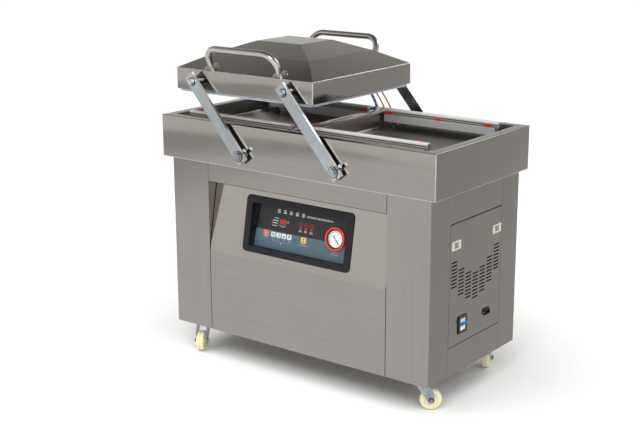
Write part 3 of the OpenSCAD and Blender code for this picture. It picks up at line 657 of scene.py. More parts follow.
def make_table():
    low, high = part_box("table_shell")
    base, top = low.z, high.z
    reach, depth = high.x, high.y
    rim, bridge, floor = 0.039, 0.03, top - 0.06

    section = bent_line([((0.036, base), 0), ((0, base), 0.0025), ((0, top), 0.002), ((0.02, top), 0)])[:-1]
    outside = insets(-reach, reach, -depth, depth, section, 0.003)
    shapes, rings = [loft(outside)], [outside[-1]]
    wall = bent_line([((-0.02, top), 0), ((0, top), 0.002), ((0, floor), 0.008), ((0.1, floor), 0)], 5)[1:-1]
    for side in (-1, 1):
        x0, x1 = sorted((side * bridge, side * (reach - rim - 0.001)))
        loops = insets(x0, x1, -depth + rim, depth - rim, wall, 0.01)
        shapes.append(loft(loops, cap_last=True))
        rings.append(loops[0])
    slot = [rounded_rect(-0.008, -0.0045, -0.053, 0.08, z, 0.0015, 5) for z in (top, top - 0.004)]
    shapes.append(loft(slot, cap_last=True))
    rings.append(slot[0])

    flat = bmesh.new()
    for ring in rings:
        corners = [flat.verts.new(p) for p in ring]
        for a, b in zip(corners, corners[1:] + corners[:1]):
            flat.edges.new((a, b))
    bmesh.ops.triangle_fill(flat, use_beauty=True, edges=flat.edges[:])
    flat.verts.index_update()
    shapes.append(([v.co.copy() for v in flat.verts], [tuple(v.index for v in f.verts) for f in flat.faces]))
    flat.free()
    table = piece("table", shapes, sheet_steel("table_steel"), stands_for=("table_shell",),
                  sharp=40, weld=1e-6, solid=TABLE_SHEET)
    chamber_steel = sheet_steel("chamber_steel", tint(STEEL, 1.05), UPRIGHT_GRAIN, rough=0.3, smudge=0.08)
    for more in (chamber_steel, seam_and_highlight_steel, painted_shade_black):
        table.data.materials.append(more)
    for face in table.data.polygons:
        c = face.center
        # The fold at the skirt's lower edge takes the bright seam steel as a painted highlight.
        if c.z < base + 0.003 and -0.9 < face.normal.z < -0.15:
            face.material_index = 2     # the fold at the skirt's lower edge
        # Inside the evacuation slot the faces are painted black as shade.
        if abs(c.x + 0.00625) < 0.002 and -0.054 < c.y < 0.081 and c.z < top - 0.0001:
            face.material_index = 3     # inside the evacuation slot
        if abs(c.y) < depth - rim and abs(c.x) < reach - rim and floor - 0.001 < c.z < top - 0.001:
            face.material_index = 1     # the chambers
    # The corner welds' bright seam steel is partly painted highlight.
    seams = corner_seams(-reach, reach, -depth, depth, base + 0.0025, top - 0.002, 0.003)
    piece("table_corner_seams", seams, seam_and_highlight_steel)


def corner_seams(x0, x1, y0, y1, z0, z1, r):
    """The ground weld down each upright corner of a folded sheet, a hair outside its radius."""
    shapes = []
    for x, y, sx, sy in ((x0, y0, 1, 1), (x1, y0, -1, 1), (x1, y1, -1, -1), (x0, y1, 1, -1)):
        centre = Vector((x + sx * r, y + sy * r, 0))
        loops = []
        for k in range(13):
            z = z0 + (z1 - z0) * k / 12
            inner, outer = [], []
            for i in range(7):
                a = radians(90 * i / 6)
                out = Vector((-sx * cos(a), -sy * sin(a), 0))
                edge = 0.00002 if i in (0, 6) else 0.0001 * rng.uniform(0.8, 1.1)
                outer.append(centre + out * (r + edge) + Vector((0, 0, z)))
                inner.append(centre + out * (r - 0.0003) + Vector((0, 0, z)))
            loops.append(outer + inner[::-1])
        shapes.append(loft(loops, cap_first=True, cap_last=True))
    return shapes


make_table()


# ---------------- lid

lid_low, lid_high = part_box("lid_shell")
LID = Vector(((lid_low.x + lid_high.x) / 2, 0, lid_low.z))
LID_X = (lid_high.x - lid_low.x) / 2
LID_Y = (lid_high.y - lid_low.y) / 2
RIM = 0.081                             # height of the lid's rim
DOME_RUN, DOME_RISE = 0.1115, 0.055     # of the dome's lower faces, front and back
SLOPE = atan2(DOME_RISE, DOME_RUN)


def make_lid():
    top, crease = lid_high.z - LID.z, RIM + DOME_RISE
    line = bent_line([((LID_X - 0.034, LID_Y - 0.034, 0), 0), ((LID_X, LID_Y, 0), 0.002),
                      ((LID_X, LID_Y, RIM), 0.004), ((LID_X - 0.107, LID_Y - DOME_RUN, crease), 0.006),
                      ((LID_X - 0.222, LID_Y - 0.2145, top), 0.008), ((0.02, 0.03, top), 0)], 5)
    loops = [rounded_rect(-x + LID.x, x + LID.x, -y, y, z + LID.z, 0.0025, 5) for x, y, z in line]
    lid = piece("lid", loft(loops, cap_last=True), sheet_steel("lid_steel", rough=0.11),
                "lid", ("lid_shell",), sharp=60, solid=LID_SHEET)
    lid.data.materials.append(seam_and_highlight_steel)
    for face in lid.data.polygons:
        # The fold between rim and dome takes the bright seam steel as a painted highlight.
        if abs(face.center.z - LID.z - RIM) < 0.003 and 0.12 < face.normal.z < 0.8:
            face.material_index = 1     # the fold between rim and dome
    # The corner welds' bright seam steel is partly painted highlight.
    seams = corner_seams(LID.x - LID_X, LID.x + LID_X, -LID_Y, LID_Y, LID.z + 0.002, LID.z + RIM - 0.004, 0.0025)
    piece("lid_corner_seams", seams, seam_and_highlight_steel, "lid")


def make_gasket():
    """A moulded frame with a fat grooved outer bead and a thin inner lip."""
    section = bent_line([((2.2, -0.2), 0), ((2.2, -3), 0.8), ((8.5, -3.3), 0.2), ((8.5, -4.5), 0.2),
                         ((2.2, -4.8), 0.8), ((2.2, -8), 1), ((14.5, -8), 2.4), ((15.5, -3), 1), ((18.5, -3), 1),
                         ((20.5, -6.2), 1.2), ((24.8, -6.2), 1.2), ((24.8, -0.2), 0)], 5)
    section = [(i * MM, LID.z + z * MM) for i, z in section]
    loops = insets(LID.x - LID_X, LID.x + LID_X, -LID_Y, LID_Y, section, 0.03, 6)
    piece("gasket", loft(loops, wrap=True), silicone("gasket_silicone", (0.6, 0.68, 0.74)),
          "lid", ("lid_gasket",))


def make_handles():
    steel = polished_steel("handle_steel")
    half, height, tube_radius = 0.166, 0.085, 0.0125
    shapes, beads = [], []
    for side in (-1, 1):
        turn = Matrix.Rotation(side * -SLOPE, 3, "X")
        foot = LID + Vector((0, side * (LID_Y - 0.02), RIM + 0.02 * tan(SLOPE)))
        line = bent_line([((-half, 0, 0), 0), ((-half, 0, height), 0.056),
                          ((half, 0, height), 0.056), ((half, 0, 0), 0)], 12)
        shapes.append(tube([foot + turn @ p for p in line], lambda v: tube_radius, 28)[:2])
        for x in (-half, half):
            at, up = foot + turn @ Vector((x, 0, 0)), turn @ Vector((0, 0, 1))
            shapes.append(lathe([(28.5, 0), (29, 0.8), (28.5, 1.9), (27.8, 2.4), (17, 2.6), (16.8, 4.8),
                                 (15.8, 5.8), (12.6, 6)], at, up, 48))
            beads += [bead_ring(at + up * 0.006, up, 0.0126), bead_ring(at + up * 0.0026, up, 0.0171)]
    piece("handles", shapes, steel, "lid", ("lid_handles",))
    piece("handle_welds", beads, steel, "lid")


def bead_ring(at, axis, radius, size=0.0011, sides=8, steps=64):
    """A weld bead: a ring whose thickness ripples."""
    turn = turn_to(axis)
    loops = []
    for i in range(steps):
        a = 2 * pi * i / steps
        out = Vector((cos(a), sin(a), 0))
        r = size * (1 + 0.22 * sin(a * 26))
        loops.append([at + turn @ (out * (radius + r * cos(b)) + Vector((0, 0, r * sin(b))))
                      for b in (2 * pi * k / sides for k in range(sides))])
    return loft(loops, wrap=True)


make_lid()
make_gasket()
make_handles()


# ---------------- hose and heater leads

LEAD_EASE = 0.93        # of the widest elbow that fits
FOOT_HEIGHT = 0.853     # where hose and leads leave the table
RIB = 0.0045            # between the hose's ribs


def make_lead(name, body, material, stands_for, x, r, start, behind, ribs=0):
    """A line from the table's rear wall, round an arc beside the links, to the lid's rear wall.
    x, its radius r, the arc's distance behind the wall and the ribs are in mm."""
    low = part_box("table_shell")[1].y
    lift = Vector((x * MM, 0, FOOT_HEIGHT))
    e = (r + 6) * MM
    start, plane = radians(start), Vector((0, low + behind * MM, 0))
    half_turn = pi - LINK_ANGLE - start
    bend = (REACH / 2 - e * cos(half_turn)) / sin(half_turn)
    centre = Vector((cos(start), 0, sin(start))) * e + Vector((-sin(start), 0, cos(start))) * bend
    line = [(Vector((0, low - 0.012, 0)), 0), (plane, e * LEAD_EASE)]
    for i in range(33):
        a = start - pi / 2 + 2 * half_turn * i / 32
        line.append((centre + Vector((cos(a), 0, sin(a))) * bend + plane, 0))
    top = Vector((-REACH * cos(LINK_ANGLE), 0, REACH * sin(LINK_ANGLE)))
    line += [(top + plane, e * LEAD_EASE), (top + Vector((0, LID_Y - 0.01, 0)), 0)]
    path = resampled([lift + p for p in bent_line(line, 10)], 0.0012)

    def radius(v):
        return (r - ribs + ribs * abs(sin(v * pi / RIB)) if ribs else r - 0.05) * MM

    piece(name, tube(path, radius, 20), material, body, (stands_for,))
    profile = [(r + 0.1, 0), (r + 3.5, 0), (r + 4, 1), (r + 3.6, 2.6), (r + 1.4, 3.4), (r + 0.1, 3.5)]
    for tag, side, where in (("low", "cabinet", Vector((0, low, 0))), ("high", "lid", top + Vector((0, LID_Y, 0)))):
        piece(name + "_grommet_" + tag, lathe(profile, lift + where, (0, 1, 0), 32, wrap=True),
              black_moulding, side)


make_lead("air_hose", "air_hose", braided("hose_cover", (0.15, 0.14, 0.36), (0.46, 0.46, 0.7), 55),
          "lid_air_hose", -61, 6, 90, 29.8, 0.4)
make_lead("lead_left", "heater_lead_1", lead_cover, "heater_lead_left", 0, 2.8, 100, 19.3)
make_lead("lead_right", "heater_lead_2", lead_cover, "heater_lead_right", 38, 2.8, 100, 12)


# ---------------- control panel

LEAN = radians(10.3)
UP_SLOPE = Vector((0, sin(LEAN), cos(LEAN)))
OUTWARDS = Vector((0, -cos(LEAN), sin(LEAN)))
WINDOW_MID = 135.3      # mm up the slope, at the middle of the keypad
INK_EDGE = 122          # mm up the slope, where the film turns from blue-grey to black
HALF_FILM = 0.0823      # half the film's height, along the slope
film_low, film_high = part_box("control_membrane")
FILM = Vector((0, film_low.y + HALF_FILM * sin(LEAN), film_high.z - HALF_FILM * cos(LEAN)))
RED_KEY_X, YELLOW_KEY_X, WHITE_KEYS_X, LEDS_X = -163, 17, (-128, -102.3, -76.7, -51), (-3, 22.3, 48)


def on_film(x, s, out=0.0):
    """A point on the keypad: x to the right and s up the slope, both in mm, out in mm in front of it."""
    return FILM + Vector((x * MM, 0, 0)) + UP_SLOPE * ((s - WINDOW_MID) * MM) + OUTWARDS * (out * MM)


def plate(outline, out0=0.0, out1=0.12):
    """A thin flat shape on the keypad from its outline."""
    loops = [[on_film(x, s, out) for x, s in outline] for out in (out0, out1)]
    return loft(loops, cap_first=True, cap_last=True)


def bar(x0, x1, s0, s1, *outs):
    return plate([(x0, s0), (x1, s0), (x1, s1), (x0, s1)], *outs)


def arc_band(x, s, r0, r1, start, end, out0, out1, steps=40):
    """Part of a flat ring on the keypad, anticlockwise from start to end in degrees."""
    angles = [radians(start + (end - start) * i / steps) for i in range(steps + 1)]
    line = [(x + r1 * cos(a), s + r1 * sin(a)) for a in angles]
    line += [(x + r0 * cos(a), s + r0 * sin(a)) for a in reversed(angles)]
    return plate(line, out0, out1)


def stroke(points, width, *outs):
    """A drawn line of that width through points on the keypad."""
    shapes = []
    for (x0, s0), (x1, s1) in zip(points, points[1:]):
        run = hypot(x1 - x0, s1 - s0)
        ux, us = (x1 - x0) / run * width / 2, (s1 - s0) / run * width / 2
        shapes.append(plate([(x0 - ux + us, s0 - us - ux), (x1 + ux + us, s1 + us - ux),
                             (x1 + ux - us, s1 + us + ux), (x0 - ux - us, s0 - us + ux)], *outs))
    return joined(shapes)


def dashes(*rows):
    """Rows of short bars in place of words. A row is x0, x1, s, height and gap."""
    shapes = []
    for x, x1, s, height, gap in rows:
        while x < x1 - 1:
            end = min(x + rng.uniform(1.6, 3.4), x1)
            shapes.append(bar(x, end, s - height / 2, s + height / 2))
            x = end + gap
    return shapes


def keypad_film():
    """Black above, blue-grey below, printed from behind on a fine-grained film."""
    p = Paint("keypad_film", specular_ior_level=0.3)
    up = p.add("VectorMath")
    up.operation = "DOT_PRODUCT"
    p.feed(up.inputs[0], p.place)
    p.feed(up.inputs[1], UP_SLOPE)
    edge = FILM.dot(UP_SLOPE) + (INK_EDGE - WINDOW_MID) * MM
    upper = p.spread(up.outputs["Value"], 0, 1, edge - 0.0002, edge + 0.0002)
    grain = p.noise(1500)
    lower_ink = p.colours(grain, (0.3, (0.068, 0.106, 0.136)), (0.7, (0.078, 0.122, 0.154)))
    upper_ink = p.colours(grain, (0.3, (0.017, 0.016, 0.017)), (0.7, (0.023, 0.022, 0.023)))
    return p.ends(p.mix(upper, lower_ink, upper_ink), p.spread(p.noise(40, 4, 0.6), 0.32, 0.45), p.bump(grain, 8e-6))


def make_keypad():
    dress("control_membrane", keypad_film())
    white = printed("white_print", (0.55, 0.56, 0.57))
    black = printed("black_print", (0.02, 0.02, 0.02))

    title = [bar(x, x + 14, s, s + 3) for x in range(-118, 27, 29) for s in (194, 199, 204)]
    title += dashes((23, 145, 198.5, 7.4, 3.0), (-129, -110, 172, 3.4, 1.2), (-137, -111, 162.5, 3.4, 1.2),
                    (-140, -112, 153, 3.4, 1.2), (-138, -113, 143, 3.4, 1.2))
    title += [stroke([(x0, s), (x1, s)], width)
              for x0, x1, s, width in ((-106, -92, 146.5, 1.4), (-88, -74, 146.5, 1.4), (-92, -84, 142, 1.4),
                                       (-66, -62, 166.5, 1.8), (-66, -62, 162, 1.8))]
    for x in LEDS_X:
        title += dashes((x - 6, x + 6, 143, 2.6, 1.0), (x - 7, x + 7, 138.5, 2.2, 1.0))
    piece("keypad_title_marks", title, white)

    small = []
    for x in (RED_KEY_X, *WHITE_KEYS_X):
        small += dashes((x - 8, x + 8, 94.5, 2.0, 1.2), (x - 6, x + 6, 90.5, 1.6, 1.2))
    small += [stroke([(-132, 87), (-128, 84), (-48, 84), (-44, 87)], 0.9),
              plate([(-94, 81), (-84, 81), (-89, 73.5)])]
    small += dashes((5, 30, 93.5, 2.4, 1.2), (-6, 40, 88.5, 2.4, 1.2), (152, 171, 87, 4.0, 1.6),
                    (145, 178, 79.5, 3.0, 1.4))
    piece("keypad_small_marks", small, printed("grey_print", (0.3, 0.33, 0.35)))

    frames = [bar(x + x0, x + x1, s0, s1) for x in (RED_KEY_X, YELLOW_KEY_X)
              for x0, x1, s0, s1 in ((-12.4, -11.1, 97.6, 120.0), (11.1, 12.4, 97.6, 120.0),
                                     (-11.1, 11.1, 97.6, 99.2), (-11.1, 11.1, 118.8, 120.0))]
    piece("key_frames", frames, white)
    # A near-black wedge on the window's left inner wall: painted shade.
    cheek = [(-224.2, 53.2), (-219, 53.2), (-205, 217.4), (-224.2, 217.4)]
    piece("window_cheek", plate(cheek, 0, 9), foam_and_painted_shade, bevel=0.0006)

    rings = [arc_band(x, 164.5, 8.4, 9.6, 0, 360, 0, 0.3) for x in LEDS_X]
    rings += [stroke(line, 1.2) for line in ([(-6, 162), (-3, 168), (0, 162)], [(19, 164.5), (25.6, 164.5)],
                                             [(22.3, 161), (22.3, 168)], [(45, 167), (48, 161.5), (51, 167)])]
    piece("led_rings", rings, printed("red_print", (0.42, 0.03, 0.025)),
          stands_for=("panel_indicators",))
    dome = [(2.8 * cos(a), 1.7 * sin(a) - 0.2) for a in (radians(15 * k) for k in range(6))]
    piece("leds", [lathe(dome, on_film(x, 151), OUTWARDS, 24) for x in LEDS_X],
          lit("led_glow", (1.0, 0.04, 0.025), 0.65))

    window = plastic("display_window", (0.15, 0.012, 0.012), 0.2, 1e-6, 0.02)
    piece("display", bar(-103, -69, 151, 173, 0, 0.8), window, bevel=0.0002)
    digits = []
    for x in (-94.5, -78):
        digits += [bar(x - 4.2, x + 4.2, s, s + 1.6, 0.8, 0.9) for s in (154.6, 161.2, 167.8)]
        digits += [bar(x + edge, x + edge + 1.6, s, s + 4.6, 0.8, 0.9)
                   for edge in (-5.6, 4) for s in (156.4, 163)]
    piece("display_segments", digits, lit("segment_glow", (0.75, 0.03, 0.02), 0.16))

    outs = (1.2, 1.3)       # on top of a key
    for key, ink, shapes in (
            ("key_red", white, [arc_band(-163, 109, 4.2, 6, 130, 410, *outs),
                                bar(-163.9, -162.1, 109, 117, *outs)]),
            ("key_white_a", black, [arc_band(-128, 109, 4.6, 6.4, 0, 360, *outs),
                                    arc_band(-128, 109, 0.4, 2.2, 0, 360, *outs)]),
            ("key_white_b", black, [stroke([(-107, 114), (-98, 114), (-98, 104), (-107, 104)], 1.7, *outs)]),
            ("key_white_c", black, [plate([(-81.7, 104), (-71.7, 104), (-76.7, 114)], *outs)]),
            ("key_white_d", black, [plate([(-56, 114), (-51, 104), (-46, 114)], *outs)]),
            ("key_yellow", black, [plate([(12.5, 116), (17, 109.4), (21.5, 116)], *outs),
                                   plate([(12.5, 102), (21.5, 102), (17, 108.6)], *outs)])):
        piece(key + "_symbol", shapes, ink, node[key]["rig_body"])


GAUGE_X, GAUGE_S = 161.7, 138


def on_dial(angle, radius):
    """A keypad point on the gauge, from its centre, with the angle in degrees."""
    return GAUGE_X + radius * cos(radians(angle)), GAUGE_S + radius * sin(radians(angle))


def make_gauge():
    at = on_film(GAUGE_X, GAUGE_S)
    for name, profile, wrap, material, finish, stands_for in (
            ("gauge_rim", [(37.2, 0), (43.8, 0), (44, 0.8), (44, 5.5), (43.4, 7.2), (42, 8.4), (40, 8.7),
                           (38.4, 8), (37.6, 6.4), (37.2, 4)], True,
             plastic("gauge_red", (0.84, 0.045, 0.035), 0.28, 1e-5, 0.05), "gauge_red", ("gauge_ring",)),
            ("gauge_inner_rim", [(31.6, 0), (37.1, 0), (37.1, 6.2), (36.2, 7.2), (34.5, 7), (33, 5.2), (32, 3)],
             True, black_gloss_and_shade, "black_plastic", ()),
            ("dial", [(0.4, 0), (31, 0), (31.2, 0.4), (31, 1.4), (30, 1.6), (0.9, 1.6), (0.8, 4), (0.4, 4)], False,
             plastic("dial_face", (0.8, 0.83, 0.84), 0.45, 4e-6, 0.02), "white_plastic", ("gauge_dial",))):
        piece(name, lathe(profile, at, OUTWARDS, 96, wrap), material, stands_for=stands_for)
    for name, colour, start, end in (("dial_green", (0.03, 0.36, 0.12), 165, 215),
                                     ("dial_yellow", (0.75, 0.45, 0.03), 132, 163),
                                     ("dial_red", (0.6, 0.02, 0.02), 52, 130)):
        band = arc_band(GAUGE_X, GAUGE_S, 25.5, 28.5, start, end, 1.6, 1.68, 48)
        piece(name, band, printed(name, colour))
    marks = []
    for k in range(41):
        inner, width = (22.6, 0.4) if k % 5 else (20.5, 0.8)
        angle = -45 + 270 * k / 40
        marks.append(stroke([on_dial(angle, inner), on_dial(angle, 24.6)], width, 1.6, 1.7))
    for x, s in (on_dial(-45 + 270 * k / 8, 16.5) for k in range(9)):
        marks.append(bar(x - 1.8, x + 1.8, s - 1.1, s + 1.1, 1.6, 1.7))
    marks.append(bar(GAUGE_X - 5, GAUGE_X + 5, GAUGE_S - 12.4, GAUGE_S - 11, 1.6, 1.7))
    piece("dial_marks", marks, printed("dial_ink", (0.03, 0.03, 0.035)))

    a = radians(-47)
    half = ((-15, 1.7), (-14, 2.5), (-4, 1.9), (20, 1.5), (27, 0.3))
    line = [(GAUGE_X + u * cos(a) - v * sin(a), GAUGE_S + u * sin(a) + v * cos(a))
            for u, v in (*half, *((u, -v) for u, v in reversed(half)))]
    piece("needle", plate(line, 2.5, 3.0), black_gloss_and_shade, "needle", ("gauge_needle",))
    hub = [(0.85, 2.4), (2.8, 2.4), (3, 2.8), (2.4, 3.4), (0.85, 3.6)]
    piece("needle_hub", lathe(hub, at, OUTWARDS, 32, wrap=True),
          polished_steel("hub_brass", (0.75, 0.38, 0.12), 0.3), "needle")
    dress("gauge_glass", clear_glass("glass"))


make_keypad()
make_gauge()


# ---------------- fittings on the side

def screw(name, at, axis, radius, height, body="cabinet"):
    """A pan-head cross-recess screw, its radius and height in mm."""
    turn = turn_to(axis)
    head = [(radius, 0), (radius, height * 0.35), (radius * 0.86, height * 0.75), (radius * 0.5, height * 0.97),
            (0.1, height)]
    piece(name, lathe(head, at, axis, 28), bolt_zinc, body)
    spin = Quaternion((0, 0, 1), rng.uniform(0, pi))
    # The cross recess is drawn as black bricks on the head: painted shade.
    arms = []
    for w, h in ((radius * 0.55, radius * 0.12), (radius * 0.12, radius * 0.55)):
        points, faces = brick((-w, -h, height * 0.93), (w, h, height * 1.02))
        arms.append(([Vector(at) + turn @ (spin @ p) * MM for p in points], faces))
    piece(name + "_recess", arms, black_gloss_and_shade, body, bevel=radius * 0.03 * MM)


def make_inlet():
    """Appliance inlet: flange with two screw ears, chamfered socket and three pins."""
    low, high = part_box("power_inlet")
    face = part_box("right_access_panel")[1].x
    at = Vector((face, (low.y + high.y) / 2, (low.z + high.z) / 2))
    outer = [(-25, -4), (-21, -6.5), (-17, -13.5), (17, -13.5), (21, -6.5), (25, -4),
             (25, 4), (21, 6.5), (17, 13.5), (-17, 13.5), (-21, 6.5), (-25, 4)]
    mouth = [(-12.2, -8), (-12.2, -2), (-12.2, -8), (12.2, -8), (12.2, -8), (12.2, -2),
             (12.2, 3), (8, 8), (8, 8), (-8, 8), (-8, 8), (-12.2, 3)]
    loops = [[at + Vector((x, v * wide, w * tall)) * MM for v, w in outline]
             for outline, wide, tall, x in (
                 (outer, 1, 1, 0), (outer, 1, 1, 2.8), (outer, 0.965, 0.95, 3.5), (mouth, 1.26, 1.3, 3.5),
                 (mouth, 1.24, 1.28, 8.6), (mouth, 1.18, 1.22, 9.4), (mouth, 1.04, 1.05, 9.4),
                 (mouth, 1, 1, 8.8), (mouth, 1, 1, -18))]
    piece("inlet_body", loft(loops, cap_last=True), black_gloss_and_shade, stands_for=("power_inlet",),
          sharp=25)
    pins = [block(at, -18, -3, v - 1, v + 1, w, w + 4) for v, w in ((-8, -4), (0, 1), (8, -4))]
    brass = polished_steel("terminal_brass", (0.62, 0.46, 0.2), 0.25)
    piece("inlet_pins", pins, brass, bevel=0.0003)
    for tag, v in (("front", -20.5), ("rear", 20.5)):
        screw("inlet_screw_" + tag, at + Vector((3.4, v, 0)) * MM, (1, 0, 0), 2.6, 1.6)


def make_latches():
    """Slide latches: a cream bezel round a recess, and a ribbed slider in it."""
    low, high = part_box("latch_frames")
    # The slider's dark grey-brown is painted shade of the recess it sits in.
    slider_paint = plastic("latch_slider", (0.3, 0.27, 0.22), 0.45)
    steps = ((30, 16.5, 0, 2), (30, 16.5, 1.4, 2), (29.4, 15.9, 2, 1.4), (15, 11.2, 2, 1), (14.4, 10.6, 1.4, 0.6),
             (14.4, 8.6, -6.5, 0.6), (0.6, 0.6, -6.5, 0.1))
    frames = []
    for tag, y in (("front", low.y + 0.03), ("rear", high.y - 0.03)):
        at = Vector((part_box("right_access_panel")[1].x, y, (low.z + high.z) / 2))
        frames.append(loft([[at + Vector((x, p.x, p.y)) * MM for p in rounded_rect(-wide, wide, -tall, tall, 0, r)]
                            for wide, tall, x, r in steps], cap_last=True))
        blocks = [block(at, *ends, -8.2, 8.2) for ends in ((-6.2, 0.2, -12.5, -1), (-6.2, 0.2, 1.5, 12))]
        blocks += [block(at, 0, 1.2, y0, y0 + 1.4, -6.8, 6.8) for y0 in (-11.2, -8, -4.8)]
        piece("latch_slider_" + tag, blocks, slider_paint, bevel=0.0004)
    piece("latch_bezels", frames, plastic("latch_frame", (0.57, 0.555, 0.49), 0.4),
          stands_for=("latch_frames",), sharp=40)


def make_joints():
    """Dark strips of painted shade in the gaps between the sheets, and a foam filter behind the vents."""
    low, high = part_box("front_header")
    proud = low.y - 0.00012
    lines = [brick((x - 0.0009, proud, low.z - 0.001), (x + 0.0009, low.y + 0.002, high.z))
             for x in (low.x - 0.0002, high.x + 0.0002)]
    lines.append(brick((low.x, proud, low.z - 0.0012), (high.x, low.y + 0.002, low.z + 0.0002)))
    low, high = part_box("right_access_panel")
    lines.append(brick((high.x - 0.001, low.y, low.z - 0.0016), (high.x + 0.00015, high.y, low.z + 0.0012)))
    lines += [brick((high.x - 0.001, y - 0.0007, low.z), (high.x + 0.0001, y + 0.0007, high.z))
              for y in (low.y, high.y)]
    piece("joint_strips", lines, painted_shade_black, bevel=0.0001)

    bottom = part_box("breaker_frame")[1].z + 0.008
    inside, start, strip = high.x - 0.014, low.y + 0.006, (high.y - low.y - 0.012) / 24
    sheet = [brick((inside - 0.003, start + k * strip, bottom),
                   (inside + 0.0004 * (k % 2), start + (k + 1) * strip - 0.0008, high.z - 0.02)) for k in range(24)]
    sheet.append(brick((inside - 0.004, low.y + 0.004, bottom - 0.002),
                       (inside - 0.003, high.y - 0.004, high.z - 0.018)))
    piece("vent_filter", sheet, foam_and_painted_shade)


BAR_LENGTH = 0.506      # of one sealing bar


def make_bar_edges():
    """The non-stick tape is folded down over both flanks of each sealing bar, under a keeper rail."""
    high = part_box("seal_bars")[1]
    x_far, middle = high.x, high.y - 0.014
    x_near = x_far - BAR_LENGTH
    tapes, rails, tabs = [], [], []
    for sx in (-1, 1):
        x0, x1 = sorted((sx * (x_near + 0.002), sx * (x_far - 0.002)))
        for y, flank in ((sy * middle + flank * 0.009, flank) for sy in (-1, 1) for flank in (-1, 1)):
            for shapes, proud, z0, z1 in ((tapes, 0.0005, 0.0128, 0.0002), (rails, 0.0011, 0.0076, 0.0056)):
                y0, y1 = sorted((y, y + flank * proud))
                shapes.append(brick((x0, y0, high.z - z0), (x1, y1, high.z - z1)))
        for start, length in ((4, 33), (239, 18), (447, 33)):
            x0, x1 = sorted((sx * (x_near + start * MM), sx * (x_near + (start + length) * MM)))
            tabs.append(brick((x0, -middle + 0.0111, high.z - 0.002), (x1, -middle + 0.013, high.z + 0.0098)))
    piece("tape_edges", tapes, woven_tape("tape_edge", (0.17, 0.115, 0.075)))
    piece("keeper_rails", rails, bar_aluminium, bevel=0.0003)
    piece("front_clip_tabs", tabs, red_moulding, bevel=0.0004)
    # Dark lines round the evacuation slot are painted shade; the one along the fold at the bridge's right edge is a
    # painted dark reflection.
    top = Vector((0, 0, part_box("table_shell")[1].z))
    shade_lines = [block(top, *ends, -0.4, rise)
            for *ends, rise in ((-9.8, -8.1, -55, 82, 0.3), (-4.4, -2.7, -55, 82, 0.3), (-9.8, -2.7, -55, -53.3, 0.3),
                                (-9.8, -2.7, 80.3, 82, 0.3), (26.8, 27.9, -262, 262, 0.2))]
    piece("bridge_shade_lines", shade_lines, painted_shade_black)


def make_washers():
    """Black spring washers round the screws at both ends of each link, and the shadow in the clamp slots."""
    stud_low, stud_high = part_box("lid_pivot_studs")
    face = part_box("link_front_right")[0].y
    ring = [(0, 0.1), (2.2, 0.1), (2.4, 0.5), (2.4, 1.7), (2.1, 2), (0, 2)]
    end = [(8.1, 10.6), (8.1, 13.4), (7.5, 14.03), (0.2, 14.03)]
    for tag, x in (("right", stud_high.x - 0.015), ("left", stud_low.x + 0.015)):
        top = Vector((x, 0, (stud_low.z + stud_high.z) / 2))
        low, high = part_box("shaft_" + tag)
        foot = Vector(((low.x + high.x) / 2, 0, (low.z + high.z) / 2))
        along = (top - foot).normalized()
        across = Vector((along.z, 0, -along.x))
        tail = (foot.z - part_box("link_front_" + tag)[0].z - abs(across.z) * 0.0225) / abs(along.z)
        body = node["clamp_bolts_" + tag]["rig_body"]
        studs, screws, ends = [], [], []
        for side, place in ((-1, "front"), (1, "rear")):
            out = Vector((0, side, 0))
            studs.append(lathe([(14.2 + r, d) for r, d in ring], top + out * -face, out, 48, wrap=True))
            screws.append(lathe([(19.2 + r * 0.8, d) for r, d in ring], foot + out * -face, out, 48, wrap=True))
            # The stud ends are a brighter zinc than the studs: painted highlight.
            ends.append(lathe(end, top + out * -face, out, 24))
            slot = [[foot - along * d + across * w * 0.00145 + out * (-face - e)
                     for w, e in ((-1, 0.0006), (1, 0.0006), (1, 0.011), (-1, 0.011))]
                    for d in (0.0125, 0.016, 0.02, 0.024, tail - 0.0012)]
            piece("clamp_slot_%s_%s" % (tag, place), loft(slot, cap_first=True, cap_last=True),
                  painted_shade_black, body)
        piece("stud_washers_" + tag, studs, black_oxide, "lid")
        piece("stud_end_highlights_" + tag, ends, bolt_zinc, "lid")
        piece("screw_washers_" + tag, screws, black_oxide, body)


def make_rear_screws():
    """Screw heads that hold the rear panel."""
    low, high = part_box("rear_panel")
    places = [(x, z) for x in (low.x + 0.016, high.x - 0.016)
              for z in (low.z + 0.03, low.z + 0.21, (low.z + high.z) / 2, high.z - 0.21, high.z - 0.03)]
    for n, (x, z) in enumerate(places, 1):
        screw(f"rear_screw_{n}", Vector((x, high.y, z)), (0, 1, 0), 4.5, 2.2)


make_inlet()
make_latches()
make_joints()
make_bar_edges()
make_washers()
make_rear_screws()


# ---------------- casters

def hex_nut(at, axis, across, height):
    """A hexagon with chamfered corners, standing on the point at, its sizes in mm."""
    turn = turn_to(axis)
    r = across / 2 / cos(radians(30))
    loops = []
    for along, corner in ((0, 0.97), (height * 0.12, 1), (height * 0.82, 1), (height, 0.9)):
        ring = []
        for i in range(12):
            a, size = radians(30 * i), across / 2 if i % 2 else r * corner
            ring.append(at + turn @ Vector((size * cos(a), size * sin(a), along)) * MM)
        loops.append(ring)
    return loft(loops, cap_first=True, cap_last=True)


